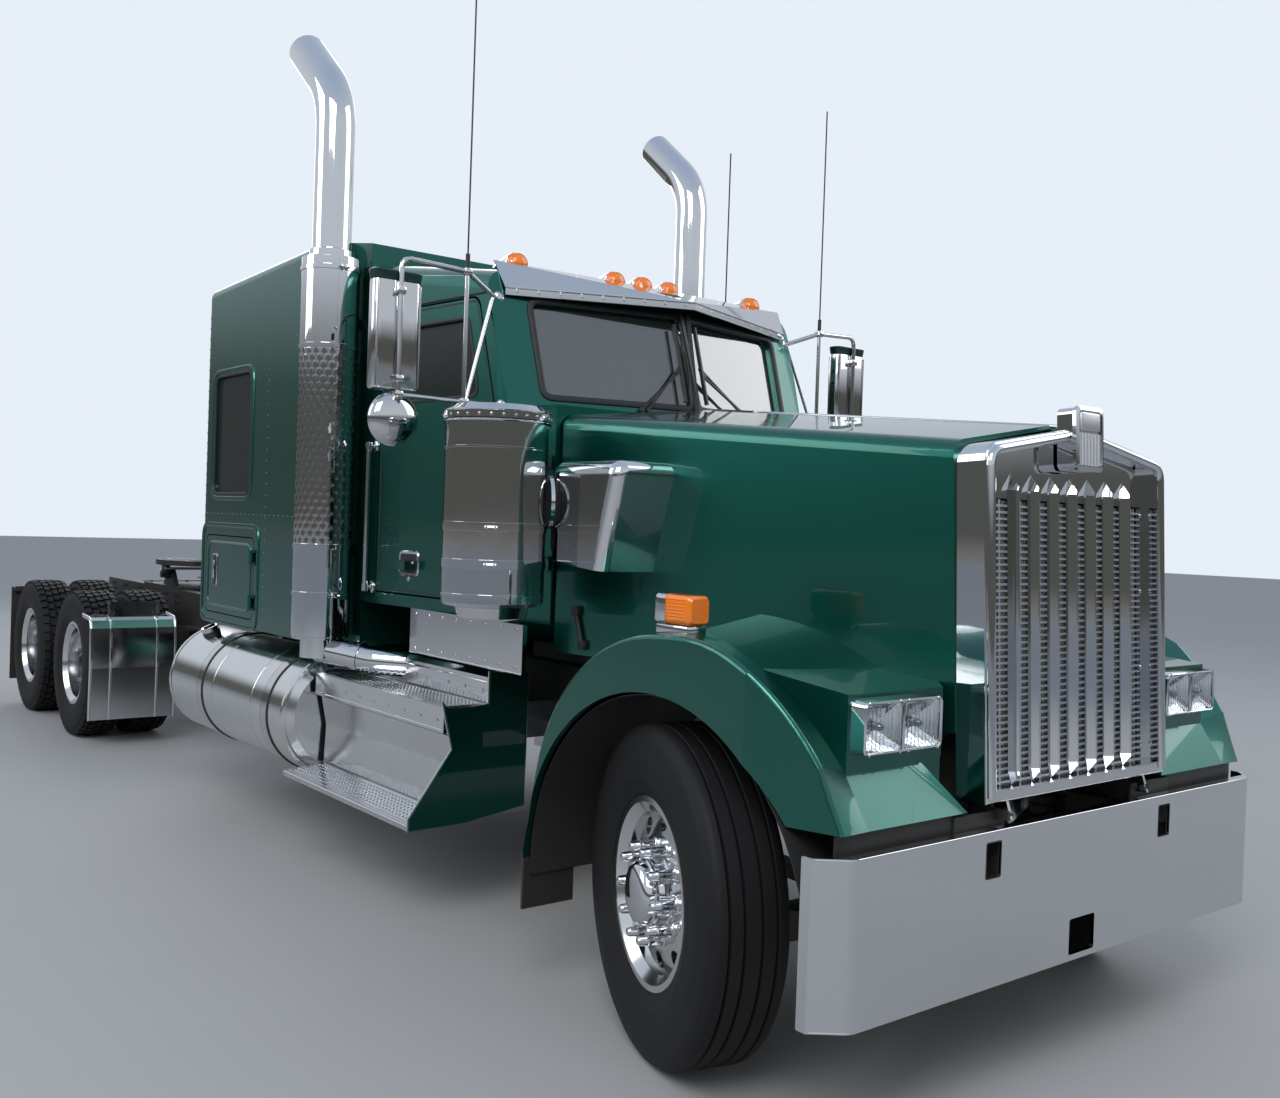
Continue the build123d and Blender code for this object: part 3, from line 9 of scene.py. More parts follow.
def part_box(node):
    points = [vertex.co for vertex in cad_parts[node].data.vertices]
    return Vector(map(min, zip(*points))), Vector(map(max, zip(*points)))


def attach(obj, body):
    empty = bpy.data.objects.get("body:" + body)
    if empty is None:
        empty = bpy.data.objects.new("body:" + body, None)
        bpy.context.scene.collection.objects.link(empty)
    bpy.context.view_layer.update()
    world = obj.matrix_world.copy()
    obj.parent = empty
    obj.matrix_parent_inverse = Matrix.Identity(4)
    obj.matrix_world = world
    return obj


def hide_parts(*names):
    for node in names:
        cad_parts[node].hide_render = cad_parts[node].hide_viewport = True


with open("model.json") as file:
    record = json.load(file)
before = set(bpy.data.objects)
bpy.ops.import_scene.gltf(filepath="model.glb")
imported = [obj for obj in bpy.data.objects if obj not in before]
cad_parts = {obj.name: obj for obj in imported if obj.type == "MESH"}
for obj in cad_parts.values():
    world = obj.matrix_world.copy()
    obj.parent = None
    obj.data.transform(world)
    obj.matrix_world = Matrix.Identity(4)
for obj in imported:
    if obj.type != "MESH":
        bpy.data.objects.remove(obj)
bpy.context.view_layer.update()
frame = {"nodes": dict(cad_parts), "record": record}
nodes = frame["nodes"]
axleLow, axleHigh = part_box("front_axle")
axleY = (axleLow.y + axleHigh.y) / 2  # lengths along Y below are counted from the front axle
print("frame loaded,", len(nodes), "nodes")


# camera, light and ground

cameraSetup = {
    "place": (-3.5618, -2.9348, 1.682),
    "yaw": 38.644,
    "pitch": -0.682,
    "roll": 1.995,
    "lens": 34.79,
    "shift": (-0.0049, -0.00826),
    "far": 300,
}


def makeCamera(s):
    yaw, pitch, roll = (math.radians(s[k]) for k in ("yaw", "pitch", "roll"))
    forward = Vector((math.sin(yaw) * math.cos(pitch), math.cos(yaw) * math.cos(pitch), math.sin(pitch)))
    right = Vector((math.cos(yaw), -math.sin(yaw), 0))
    up = right.cross(forward)
    side = right * math.cos(roll) + up * math.sin(roll)
    top = up * math.cos(roll) - right * math.sin(roll)
    turn = Matrix((side, top, -forward)).transposed().to_4x4()
    data = bpy.data.cameras.new("camera")
    data.lens = s["lens"]
    data.shift_x, data.shift_y = s["shift"]
    data.clip_end = s["far"]
    camera = bpy.data.objects.new("camera", data)
    camera.matrix_world = Matrix.Translation(Vector(s["place"]) + Vector((0, axleY, 0))) @ turn
    bpy.context.scene.collection.objects.link(camera)
    bpy.context.scene.camera = camera


makeCamera(cameraSetup)

studio = {
    "skyTop": (0.55, 0.68, 0.9, 1),
    "horizon": (0.84, 0.9, 0.98, 1),
    "band": (0.13, 0.135, 0.125, 1),
    "below": (0.3, 0.29, 0.28, 1),
    "background": (0.8, 0.86, 0.94, 1),
    "worldStrength": 0.8,
    "floor": (0.34, 0.338, 0.333),
    "floorHalf": 60,
}


def makeWorld(s):
    world = bpy.data.worlds.new("softStudio")
    bpy.context.scene.world = world
    world.use_nodes = True
    tree = world.node_tree
    tree.nodes.clear()
    add = tree.nodes.new
    coord, split = add("ShaderNodeTexCoord"), add("ShaderNodeSeparateXYZ")
    ramp = add("ShaderNodeValToRGB")
    scaleZ = add("ShaderNodeMapRange")
    scaleZ.inputs["From Min"].default_value = -1
    tree.links.new(coord.outputs["Generated"], split.inputs[0])
    tree.links.new(split.outputs["Z"], scaleZ.inputs["Value"])
    tree.links.new(scaleZ.outputs["Result"], ramp.inputs["Fac"])
    stops = ((0.0, s["below"]), (0.49, s["below"]), (0.5, s["band"]), (0.55, s["band"]),
             (0.6, s["horizon"]), (0.7, s["horizon"]), (1.0, s["skyTop"]))
    ramp.color_ramp.elements[0].color = s["below"]
    ramp.color_ramp.elements[1].color = s["skyTop"]
    for place, color in stops[1:-1]:
        ramp.color_ramp.elements.new(place).color = color
    surround, plain = add("ShaderNodeBackground"), add("ShaderNodeBackground")
    surround.inputs["Strength"].default_value = s["worldStrength"]
    plain.inputs["Color"].default_value = s["background"]
    tree.links.new(ramp.outputs["Color"], surround.inputs["Color"])
    path, mix, out = add("ShaderNodeLightPath"), add("ShaderNodeMixShader"), add("ShaderNodeOutputWorld")
    tree.links.new(path.outputs["Is Camera Ray"], mix.inputs["Fac"])
    tree.links.new(surround.outputs[0], mix.inputs[1])
    tree.links.new(plain.outputs[0], mix.inputs[2])
    tree.links.new(mix.outputs[0], out.inputs["Surface"])


makeWorld(studio)

# name, place, target, size, power
softLights = (
    ("keyLight", (-7.5, -8.5, 9.0), (0, -1.5, 1.2), 6.0, 720),
    ("sideLight", (-10.0, 3.0, 7.0), (0, 0.5, 1.5), 6.5, 320),
    ("fillLight", (9.0, -7.0, 8.0), (0, 0, 1.0), 7.0, 320),
    ("rearLight", (4.0, 12.0, 8.0), (0, 1.0, 1.5), 7.0, 320),
)
for name, place, target, size, power in softLights:
    lamp = bpy.data.lights.new(name, "AREA")
    lamp.size, lamp.energy = size, power
    light = bpy.data.objects.new(name, lamp)
    light.location = place
    light.rotation_euler = (Vector(target) - Vector(place)).to_track_quat("-Z", "Y").to_euler()
    bpy.context.scene.collection.objects.link(light)
bpy.context.scene.view_settings.view_transform = "Standard"


# shared shader effects

def newGroup(name, inputs, outputs):
    group = bpy.data.node_groups.new(name, "ShaderNodeTree")
    for label, kind, value in inputs:
        socket = group.interface.new_socket(name=label, in_out="INPUT", socket_type=kind)
        socket.default_value = value
    for label, kind in outputs:
        group.interface.new_socket(name=label, in_out="OUTPUT", socket_type=kind)
    return group, group.nodes.new("NodeGroupInput"), group.nodes.new("NodeGroupOutput")


def mathNode(tree, operation, a, b=None, clamp=False):
    node = tree.nodes.new("ShaderNodeMath")
    node.operation, node.use_clamp = operation, clamp
    for i, value in enumerate((a, b)):
        if value is None:
            continue
        if isinstance(value, (int, float)):
            node.inputs[i].default_value = value
        else:
            tree.links.new(value, node.inputs[i])
    return node.outputs[0]


def noiseNode(tree, vector, scale, detail=3.0, rough=0.55):
    node = tree.nodes.new("ShaderNodeTexNoise")
    node.inputs["Detail"].default_value = detail
    node.inputs["Roughness"].default_value = rough
    tree.links.new(vector, node.inputs["Vector"])
    if isinstance(scale, (int, float)):
        node.inputs["Scale"].default_value = scale
    else:
        tree.links.new(scale, node.inputs["Scale"])
    return node.outputs["Fac"]


def makeDustGroup():
    # road dust: thick near the ground, broken by noise
    group, start, end = newGroup(
        "roadDust",
        (("Color", "NodeSocketColor", (0.5, 0.5, 0.5, 1)), ("Dust Color", "NodeSocketColor", (0.3, 0.27, 0.22, 1)),
         ("Amount", "NodeSocketFloat", 0.3), ("Top Height", "NodeSocketFloat", 1.0),
         ("Clean Roughness", "NodeSocketFloat", 0.2), ("Dusty Roughness", "NodeSocketFloat", 0.7)),
        (("Color", "NodeSocketColor"), ("Roughness", "NodeSocketFloat"), ("Mask", "NodeSocketFloat")))
    add = group.nodes.new
    coord, split = add("ShaderNodeTexCoord"), add("ShaderNodeSeparateXYZ")
    group.links.new(coord.outputs["Object"], split.inputs[0])
    height = mathNode(group, "DIVIDE", split.outputs["Z"], start.outputs["Top Height"])
    low = mathNode(group, "SUBTRACT", 1.0, height, clamp=True)
    cloud = noiseNode(group, coord.outputs["Object"], 5.0, 6.0, 0.65)
    fine = noiseNode(group, coord.outputs["Object"], 60.0, 2.0)
    mixed = mathNode(group, "MULTIPLY", mathNode(group, "ADD", cloud, mathNode(group, "MULTIPLY", fine, 0.35)), low)
    mask = mathNode(group, "MULTIPLY", mixed, start.outputs["Amount"], clamp=True)
    blend = add("ShaderNodeMix")
    blend.data_type = "RGBA"
    group.links.new(mask, blend.inputs["Factor"])
    group.links.new(start.outputs["Color"], blend.inputs[6])
    group.links.new(start.outputs["Dust Color"], blend.inputs[7])
    span = mathNode(group, "SUBTRACT", start.outputs["Dusty Roughness"], start.outputs["Clean Roughness"])
    rough = mathNode(group, "ADD", start.outputs["Clean Roughness"], mathNode(group, "MULTIPLY", span, mask))
    group.links.new(blend.outputs[2], end.inputs["Color"])
    group.links.new(rough, end.inputs["Roughness"])
    group.links.new(mask, end.inputs["Mask"])
    return group


def makeGrainGroup():
    # fine surface relief, stretched along an axis for rolled or brushed metal
    group, start, end = newGroup(
        "surfaceGrain",
        (("Scale", "NodeSocketFloat", 100.0), ("Stretch", "NodeSocketVector", (1, 1, 1))),
        (("Height", "NodeSocketFloat"),))
    coord, stretch = group.nodes.new("ShaderNodeTexCoord"), group.nodes.new("ShaderNodeVectorMath")
    stretch.operation = "MULTIPLY"
    group.links.new(coord.outputs["Object"], stretch.inputs[0])
    group.links.new(start.outputs["Stretch"], stretch.inputs[1])
    group.links.new(noiseNode(group, stretch.outputs[0], start.outputs["Scale"], 4.0), end.inputs["Height"])
    return group


def makeMottleGroup():
    # slow change of tone over a surface
    group, start, end = newGroup(
        "toneMottle",
        (("Color", "NodeSocketColor", (0.5, 0.5, 0.5, 1)), ("Scale", "NodeSocketFloat", 3.0),
         ("Depth", "NodeSocketFloat", 0.2)),
        (("Color", "NodeSocketColor"),))
    coord = group.nodes.new("ShaderNodeTexCoord")
    cloud = noiseNode(group, coord.outputs["Object"], start.outputs["Scale"], 5.0, 0.6)
    swing = mathNode(group, "MULTIPLY", mathNode(group, "SUBTRACT", cloud, 0.5), start.outputs["Depth"])
    tone = mathNode(group, "ADD", mathNode(group, "MULTIPLY", swing, 2.0), 1.0)
    times = group.nodes.new("ShaderNodeVectorMath")
    times.operation = "SCALE"
    group.links.new(start.outputs["Color"], times.inputs[0])
    group.links.new(tone, times.inputs["Scale"])
    group.links.new(times.outputs[0], end.inputs["Color"])
    return group


dustGroup, grainGroup, mottleGroup = makeDustGroup(), makeGrainGroup(), makeMottleGroup()


def placeGroup(tree, group, **values):
    node = tree.nodes.new("ShaderNodeGroup")
    node.node_tree = group
    for label, value in values.items():
        socket = node.inputs[label.replace("_", " ")]
        if hasattr(value, "is_linked"):
            tree.links.new(value, socket)
        else:
            socket.default_value = value
    return node


def makeFinish(name, s):
    # one finish: mottled base colour, road dust, grain relief; plain numbers go on the shader's sockets
    material = bpy.data.materials.new(name)
    material.use_nodes = True
    tree = material.node_tree
    shader = tree.nodes["Principled BSDF"]
    mottle = placeGroup(tree, mottleGroup, Color=(*s["color"], 1), Scale=s.get("mottleScale", 3.0),
                        Depth=s.get("mottle", 0.15))
    dust = placeGroup(tree, dustGroup, Color=mottle.outputs["Color"],
                      Dust_Color=(*s.get("dustColor", (0.3, 0.27, 0.23)), 1), Amount=s.get("dust", 0.15),
                      Top_Height=s.get("dustTop", 1.6), Clean_Roughness=s["roughness"],
                      Dusty_Roughness=s.get("dustyRoughness", 0.7))
    tree.links.new(dust.outputs["Color"], shader.inputs["Base Color"])
    tree.links.new(dust.outputs["Roughness"], shader.inputs["Roughness"])
    shader.inputs["Metallic"].default_value = s.get("metallic", 0.0)
    shader.inputs["Coat Weight"].default_value = s.get("coat", 0.0)
    shader.inputs["Coat Roughness"].default_value = s.get("coatRoughness", 0.03)
    shader.inputs["Coat IOR"].default_value = s.get("coatIor", 1.5)
    shader.inputs["Transmission Weight"].default_value = s.get("transmission", 0.0)
    shader.inputs["IOR"].default_value = s.get("ior", 1.45)
    if s.get("bump"):
        grain = placeGroup(tree, grainGroup, Scale=s.get("grainScale", 120.0), Stretch=s.get("stretch", (1, 1, 1)))
        bump = tree.nodes.new("ShaderNodeBump")
        bump.inputs["Strength"].default_value = s["bump"]
        bump.inputs["Distance"].default_value = s.get("bumpDepth", 0.002)
        tree.links.new(grain.outputs["Height"], bump.inputs["Height"])
        tree.links.new(bump.outputs["Normal"], shader.inputs["Normal"])
    return material


finishes = {
    "green_paint": {"color": (0.006, 0.112, 0.084), "roughness": 0.3, "metallic": 0.92, "coat": 0.8, "coatIor": 1.45,
                    "coatRoughness": 0.02, "mottle": 0.05, "dust": 0.02, "dustyRoughness": 0.4,
                    "bump": 0.02, "grainScale": 900.0},
    "bright_chrome": {"color": (0.66, 0.67, 0.69), "roughness": 0.035, "metallic": 1.0, "mottle": 0.02,
                      "dust": 0.08, "dustTop": 1.4, "dustyRoughness": 0.45, "bump": 0.012, "grainScale": 8.0,
                      "bumpDepth": 0.01},
    "polished_steel": {"color": (0.62, 0.62, 0.63), "roughness": 0.07, "metallic": 1.0, "mottle": 0.03,
                       "dust": 0.06, "dustyRoughness": 0.5, "bump": 0.02, "grainScale": 7.0, "bumpDepth": 0.01},
    "polished_aluminium": {"color": (0.7, 0.71, 0.72), "roughness": 0.13, "metallic": 1.0, "mottle": 0.05,
                           "dust": 0.16, "dustTop": 1.1, "dustyRoughness": 0.6, "bump": 0.03,
                           "grainScale": 40.0, "bumpDepth": 0.001},
    "mesh_steel": {"color": (0.62, 0.63, 0.65), "roughness": 0.4, "metallic": 1.0, "mottle": 0.1, "dust": 0.1,
                   "bump": 0.05, "grainScale": 200.0},
    "chassis_black": {"color": (0.014, 0.014, 0.015), "roughness": 0.45, "mottle": 0.3, "dust": 0.5,
                      "dustTop": 1.3, "dustColor": (0.12, 0.105, 0.085), "bump": 0.15, "grainScale": 150.0},
    "engine_grey": {"color": (0.09, 0.09, 0.095), "roughness": 0.6, "mottle": 0.35, "dust": 0.4,
                    "dustTop": 2.2, "dustColor": (0.14, 0.12, 0.1), "bump": 0.3, "grainScale": 90.0},
    "tyre_rubber": {"color": (0.008, 0.008, 0.009), "roughness": 0.6, "ior": 1.3, "mottle": 0.3, "dust": 0.12,
                    "dustTop": 1.3, "dustColor": (0.05, 0.046, 0.04), "bump": 0.12, "grainScale": 260.0},
    "flap_rubber": {"color": (0.016, 0.016, 0.017), "roughness": 0.5, "mottle": 0.3, "dust": 0.25,
                    "dustColor": (0.1, 0.09, 0.075), "bump": 0.1, "grainScale": 60.0},
    "dark_glass": {"color": (0.16, 0.19, 0.19), "roughness": 0.01, "transmission": 0.85, "ior": 1.6, "coat": 1.0,
                   "coatIor": 1.9, "mottle": 0.0, "dust": 0.04, "dustTop": 4.0, "dustyRoughness": 0.3},
    "amber_plastic": {"color": (0.85, 0.2, 0.01), "roughness": 0.12, "coat": 0.6, "mottle": 0.08, "dust": 0.05},
    "red_plastic": {"color": (0.45, 0.008, 0.006), "roughness": 0.14, "coat": 0.6, "mottle": 0.1, "dust": 0.1},
    "black_plastic": {"color": (0.018, 0.018, 0.019), "roughness": 0.42, "mottle": 0.15, "dust": 0.08,
                      "bump": 0.08, "grainScale": 240.0},
    "seat_leather": {"color": (0.055, 0.055, 0.06), "roughness": 0.5, "mottle": 0.2, "dust": 0.02,
                     "bump": 0.25, "grainScale": 160.0},
    "dark_paint": {"color": (0.002, 0.03, 0.024), "roughness": 0.3, "metallic": 0.3, "coat": 1.0, "mottle": 0.05,
                   "dust": 0.05},
    "lamp_reflector": {"color": (0.9, 0.9, 0.92), "roughness": 0.05, "metallic": 1.0, "mottle": 0.0, "dust": 0.0},
    "lamp_cap": {"color": (0.25, 0.25, 0.26), "roughness": 0.2, "metallic": 1.0, "mottle": 0.0, "dust": 0.0},
    "clear_glass": {"color": (0.95, 0.97, 0.98), "roughness": 0.02, "transmission": 1.0, "ior": 1.3, "mottle": 0.0,
                    "dust": 0.02, "dustyRoughness": 0.2},
    "grease": {"color": (0.03, 0.026, 0.02), "roughness": 0.25, "mottle": 0.4, "dust": 0.1},
    "dial_white": {"color": (0.6, 0.6, 0.58), "roughness": 0.5, "mottle": 0.02, "dust": 0.0},
    "side_glass": {"color": (0.05, 0.062, 0.062), "roughness": 0.01, "transmission": 0.6, "ior": 1.45, "mottle": 0.0,
                   "dust": 0.03},
    "mirror_face": {"color": (0.86, 0.88, 0.9), "roughness": 0.01, "metallic": 1.0, "mottle": 0.0, "dust": 0.0},
}
finish = {name: makeFinish(name, s) for name, s in finishes.items()}
slotOf = {part["node"]: part["material_slot"] for part in frame["record"]["subparts"]}
for name, obj in nodes.items():
    obj.data.materials.clear()
    side = name == "sleeper_glass" or name.startswith("door_glass")
    obj.data.materials.append(finish["side_glass" if side else slotOf[name]])
print("finishes on", len(slotOf), "nodes")


# ground

def makeFloor(s):
    bm = bmesh.new()
    bmesh.ops.create_grid(bm, x_segments=1, y_segments=1, size=s["floorHalf"])
    mesh = bpy.data.meshes.new("studioFloor")
    bm.to_mesh(mesh)
    bm.free()
    material = makeFinish("floorFinish", {"color": s["floor"], "roughness": 0.75, "mottle": 0.05, "dust": 0.0,
                                          "mottleScale": 0.6, "bump": 0.1, "grainScale": 30.0})
    mesh.materials.append(material)
    floor = bpy.data.objects.new("studioFloor", mesh)
    bpy.context.scene.collection.objects.link(floor)


makeFloor(studio)

# tools for the pieces

def newBm():
    return bmesh.new()


outX, outY = (1, 0, 0), (0, 1, 0)  # out to the side, and to the rear


def frameFrom(origin, zAxis, xHint=(0, 0, 1)):
    # matrix whose Z runs along zAxis, for round shapes set at an angle
    z = Vector(zAxis).normalized()
    x = Vector(xHint)
    x = x - z * x.dot(z)
    if x.length < 1e-6:
        x = Vector((1, 0, 0)) - z * z.x
    x.normalize()
    turn = Matrix((x, z.cross(x), z)).transposed().to_4x4()
    return Matrix.Translation(Vector(origin)) @ turn


def addLathe(bm, profile, matrix, steps=48):
    # profile of (radius, height) points turned a full circle round the matrix's Z
    verts = [bm.verts.new((r, 0, h)) for r, h in profile]
    edges = [bm.edges.new(pair) for pair in zip(verts, verts[1:])]
    turned = bmesh.ops.spin(bm, geom=verts + edges, cent=(0, 0, 0), axis=(0, 0, 1), angle=math.tau,
                            steps=steps, use_merge=True)
    last = [item for item in turned["geom_last"] if isinstance(item, bmesh.types.BMVert)]
    linked = growFrom(verts + last)
    bmesh.ops.transform(bm, matrix=matrix, verts=linked)
    bmesh.ops.remove_doubles(bm, verts=linked, dist=1e-6)


def hoop(inner, outer, middle, half, edge, closed=False):
    # section of a raised band for addLathe: sloped edges, middle at a height
    low, high = middle - half, middle + half
    points = ((inner, low), (outer, low + edge), (outer, high - edge), (inner, high))
    return (*points, points[0]) if closed else points


def growFrom(seeds):
    # every vertex joined to the seeds by edges
    found, queue = set(seeds), list(seeds)
    while queue:
        for edge in queue.pop().link_edges:
            for v in edge.verts:
                if v not in found:
                    found.add(v)
                    queue.append(v)
    return list(found)


def addBox(bm, low, high, soft=0.0, segments=2, matrix=None):
    # box between two corners, its edges rounded by soft
    low, high = Vector(low), Vector(high)
    size, middle = high - low, (low + high) / 2
    made = bmesh.ops.create_cube(bm, size=1.0, matrix=Matrix.Translation(middle) @ Matrix.Diagonal((*size, 1)))
    verts = made["verts"]
    if soft > 0:
        edges = list({e for v in verts for e in v.link_edges})
        out = bmesh.ops.bevel(bm, geom=edges, offset=soft, offset_type="OFFSET", segments=segments, profile=0.5,
                              affect="EDGES", material=-1)
        verts = growFrom(out["verts"])
    if matrix is not None:
        bmesh.ops.transform(bm, matrix=matrix, verts=verts)
    return verts


def addSlab(bm, outline, toPoint, offset):
    # flat outline placed by toPoint, extruded by the offset vector
    verts = [bm.verts.new(toPoint(a, b)) for a, b in outline]
    face = bm.faces.new(verts)
    out = bmesh.ops.extrude_face_region(bm, geom=[face])
    moved = [g for g in out["geom"] if isinstance(g, bmesh.types.BMVert)]
    bmesh.ops.translate(bm, vec=Vector(offset), verts=moved)


def addRod(bm, start, end, radius, sides=16, endRadius=None):
    start, end = Vector(start), Vector(end)
    span = end - start
    bmesh.ops.create_cone(bm, cap_ends=True, segments=sides, radius1=radius,
                          radius2=radius if endRadius is None else endRadius, depth=span.length,
                          matrix=frameFrom((start + end) / 2, span))


def addPipe(bm, points, radius, sides=12, closed=False):
    # round pipe through the points: a ring is extruded from point to point and turned at each
    points = [Vector(p) for p in points]
    count = len(points)

    def directionAt(i):
        if closed:
            return (points[(i + 1) % count] - points[i - 1]).normalized()
        a, b = points[max(i - 1, 0)], points[min(i + 1, count - 1)]
        return (b - a).normalized()

    ring = bmesh.ops.create_circle(bm, cap_ends=False, segments=sides, radius=radius,
                                   matrix=frameFrom(points[0], directionAt(0)))["verts"]
    edges = list({e for v in ring for e in v.link_edges})
    firstEdges, place = edges, frameFrom(points[0], directionAt(0))
    for i in range(1, count):
        out = bmesh.ops.extrude_edge_only(bm, edges=edges)["geom"]
        verts = [g for g in out if isinstance(g, bmesh.types.BMVert)]
        edges = [g for g in out if isinstance(g, bmesh.types.BMEdge)]
        # carry the ring with the least turn, so the pipe doesn't twist
        turn = (place.to_3x3() @ Vector((0, 0, 1))).rotation_difference(directionAt(i)).to_matrix().to_4x4()
        new = Matrix.Translation(points[i]) @ turn @ Matrix.Translation(-points[i - 1])
        bmesh.ops.transform(bm, matrix=new, verts=verts)
        place = new @ place
    if closed:
        bmesh.ops.bridge_loops(bm, edges=firstEdges + edges)
    else:
        bmesh.ops.holes_fill(bm, edges=firstEdges + edges, sides=sides + 1)


def bendPoints(points, radius, steps=6):
    # the route with its corners rounded
    points = [Vector(p) for p in points]
    out = [points[0]]
    for before, corner, after in zip(points, points[1:], points[2:]):
        a, b = (before - corner).normalized(), (after - corner).normalized()
        half = a.angle(b) / 2
        back = min(radius / math.tan(half), (before - corner).length * 0.49, (after - corner).length * 0.49)
        start, end = corner + a * back, corner + b * back
        for i in range(steps + 1):
            t = i / steps
            out.append(start * (1 - t) ** 2 + corner * 2 * t * (1 - t) + end * t ** 2)
    return out + [points[-1]]


# radius, shoulder, shoulder's height, height and sides of the small domed heads
heads = {
    "rivet": (0.0045, 0.0035, 0.0018, 0.0026, 8),
    "visorRivet": (0.0055, 0.0045, 0.002, 0.003, 10),
    "screw": (0.008, 0.0065, 0.003, 0.0045, 12),
    "stepRivet": (0.007, 0.006, 0.003, 0.0045, 10),
    "ridgeRivet": (0.006, 0.005, 0.0025, 0.0035, 8),
    "noseScrew": (0.007, 0.006, 0.003, 0.005, 10),
    "latchScrew": (0.008, 0.006, 0.004, 0.005, 12),
    "lampScrew": (0.005, 0.004, 0.0025, 0.003, 8),
    "deckBolt": (0.011, 0.009, 0.004, 0.006, 12),
    "plateBolt": (0.014, 0.012, 0.001, 0.0014, 14),
}


def addHead(bm, kind, point, along):
    radius, shoulder, low, high, sides = heads[kind]
    addLathe(bm, ((radius, 0), (shoulder, low), (0, high)), frameFrom(point, along), sides)


def mirrorAll(bm):
    bmesh.ops.mirror(bm, geom=bm.verts[:] + bm.edges[:] + bm.faces[:], axis="X", merge_dist=-1)


def makePiece(name, bm, slot, body="chassis", replaced=(), look=None, both=True, smooth=32, recalc=True):
    # one piece, also mirrored with both; look is its finish where that isn't the slot's own
    if both:
        mirrorAll(bm)
    if recalc:
        bmesh.ops.recalc_face_normals(bm, faces=bm.faces[:])
    mesh = bpy.data.meshes.new(name)
    bm.to_mesh(mesh)
    bm.free()
    mesh.materials.append(finish[look or slot])
    mesh.shade_smooth()
    mesh.set_sharp_from_angle(angle=math.radians(smooth))
    obj = bpy.data.objects.new(name, mesh)
    bpy.context.scene.collection.objects.link(obj)
    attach(obj, body)
    if replaced:
        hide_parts(*replaced)


def at(x, y, z):
    # a point whose Y is counted from the front axle
    return Vector((x, y + axleY, z))


# wheels and tyres

bothSides = ((1, "left"), (-1, "right"))
steerWheel = {
    "centreX": 1.0095,
    "centreZ": 0.527,
    "kingpinX": 0.92,
    "turn": -17.2,
    "discX": 1.0815,
    "nutRadius": 0.1429,
    "nutCount": 10,
}
driveWheel = {
    "outerX": 1.07,
    "spacing": 0.343,
    "axles": {"front": 6.67, "rear": 7.99},
    "centreZ": 0.527,
    "discX": 0.9105,
}
# (distance from the tyre's middle, radius) of one half, from the bead to the middle rib
tyreSide = ((0.088, 0.2795), (0.1055, 0.2985), (0.1185, 0.3025), (0.1275, 0.322), (0.1335, 0.345),
            (0.1368, 0.352), (0.1372, 0.357), (0.1378, 0.385), (0.1395, 0.402), (0.1392, 0.425),
            (0.1365, 0.446), (0.135, 0.452), (0.135, 0.456))
steerTread = (*tyreSide, (0.132, 0.472), (0.128, 0.489), (0.1245, 0.497), (0.1235, 0.498), (0.1195, 0.5075),
              (0.113, 0.5165), (0.105, 0.5225), (0.096, 0.5255), (0.081, 0.5268), (0.0795, 0.525),
              (0.077, 0.512), (0.0725, 0.512), (0.07, 0.525), (0.0685, 0.5269), (0.0345, 0.527),
              (0.033, 0.5252), (0.0305, 0.512), (0.0255, 0.512), (0.023, 0.5252), (0.0215, 0.527), (0.0, 0.527))
driveTread = (*tyreSide, (0.13, 0.474), (0.121, 0.492), (0.112, 0.502), (0.096, 0.5065), (0.0, 0.508))


def wheelMatrix(x, y, z):
    # lathe's Z out along +X
    return frameFrom(at(x, y, z), (1, 0, 0), (0, 0, 1))


def addTyre(bm, tread, x, y, z, steps=96):
    profile = [(r, w) for w, r in tread]
    whole = profile + [(r, -w) for r, w in reversed(profile[:-1])]
    addLathe(bm, whole + [whole[0]], wheelMatrix(x, y, z), steps)


def addLugs(bm, x, y, z, s):
    # rows of tread blocks: (middle, width, length, angle, share of a pitch)
    for middle, width, length, twist, phase in s["rows"]:
        for i in range(s["count"]):
            turn = Matrix.Rotation(math.tau * (i + phase) / s["count"], 4, "X")
            top = math.sqrt(s["radius"] ** 2 - (length / 2 + 0.002) ** 2)
            place = Matrix.Translation(at(x, y, z)) @ turn @ Matrix.Translation((middle, 0, 0)) \
                @ Matrix.Rotation(math.radians(twist), 4, "Z")
            verts = addBox(bm, (-width / 2, -length / 2, s["root"]), (width / 2, length / 2, top))
            upper = [v for v in verts if v.co.z > s["root"] + 0.001]
            for v in upper:
                v.co.x *= 0.92
                v.co.y *= 0.93
            if abs(middle) > 0.09:  # shoulder blocks run down the tyre's side
                for v in verts:
                    if v.co.x * middle > 0:
                        v.co.z -= s["drop"]
            bmesh.ops.transform(bm, matrix=place, verts=verts)


lugRows = {
    "count": 46,
    "radius": 0.5268,
    "root": 0.494,
    "drop": 0.009,
    "rows": ((0.1, 0.042, 0.052, 0, 0.0), (-0.1, 0.042, 0.052, 0, 0.5), (0.05, 0.04, 0.05, 9, 0.3),
             (-0.05, 0.04, 0.05, 9, 0.8), (0.0, 0.04, 0.048, -12, 0.05)),
}
nutCover = ((0.0255, 0.0), (0.0255, 0.004), (0.0205, 0.007), (0.018, 0.014), (0.0175, 0.05), (0.0185, 0.052),
            (0.0185, 0.058), (0.0165, 0.062), (0.015, 0.08), (0.012, 0.087), (0.006, 0.0905), (0.0, 0.0915))
hubCover = ((0.122, -0.001), (0.122, 0.006), (0.114, 0.01), (0.11, 0.04), (0.107, 0.044), (0.1065, 0.052),
            (0.1, 0.056), (0.096, 0.074), (0.088, 0.084), (0.07, 0.091), (0.045, 0.0945), (0.0, 0.096))
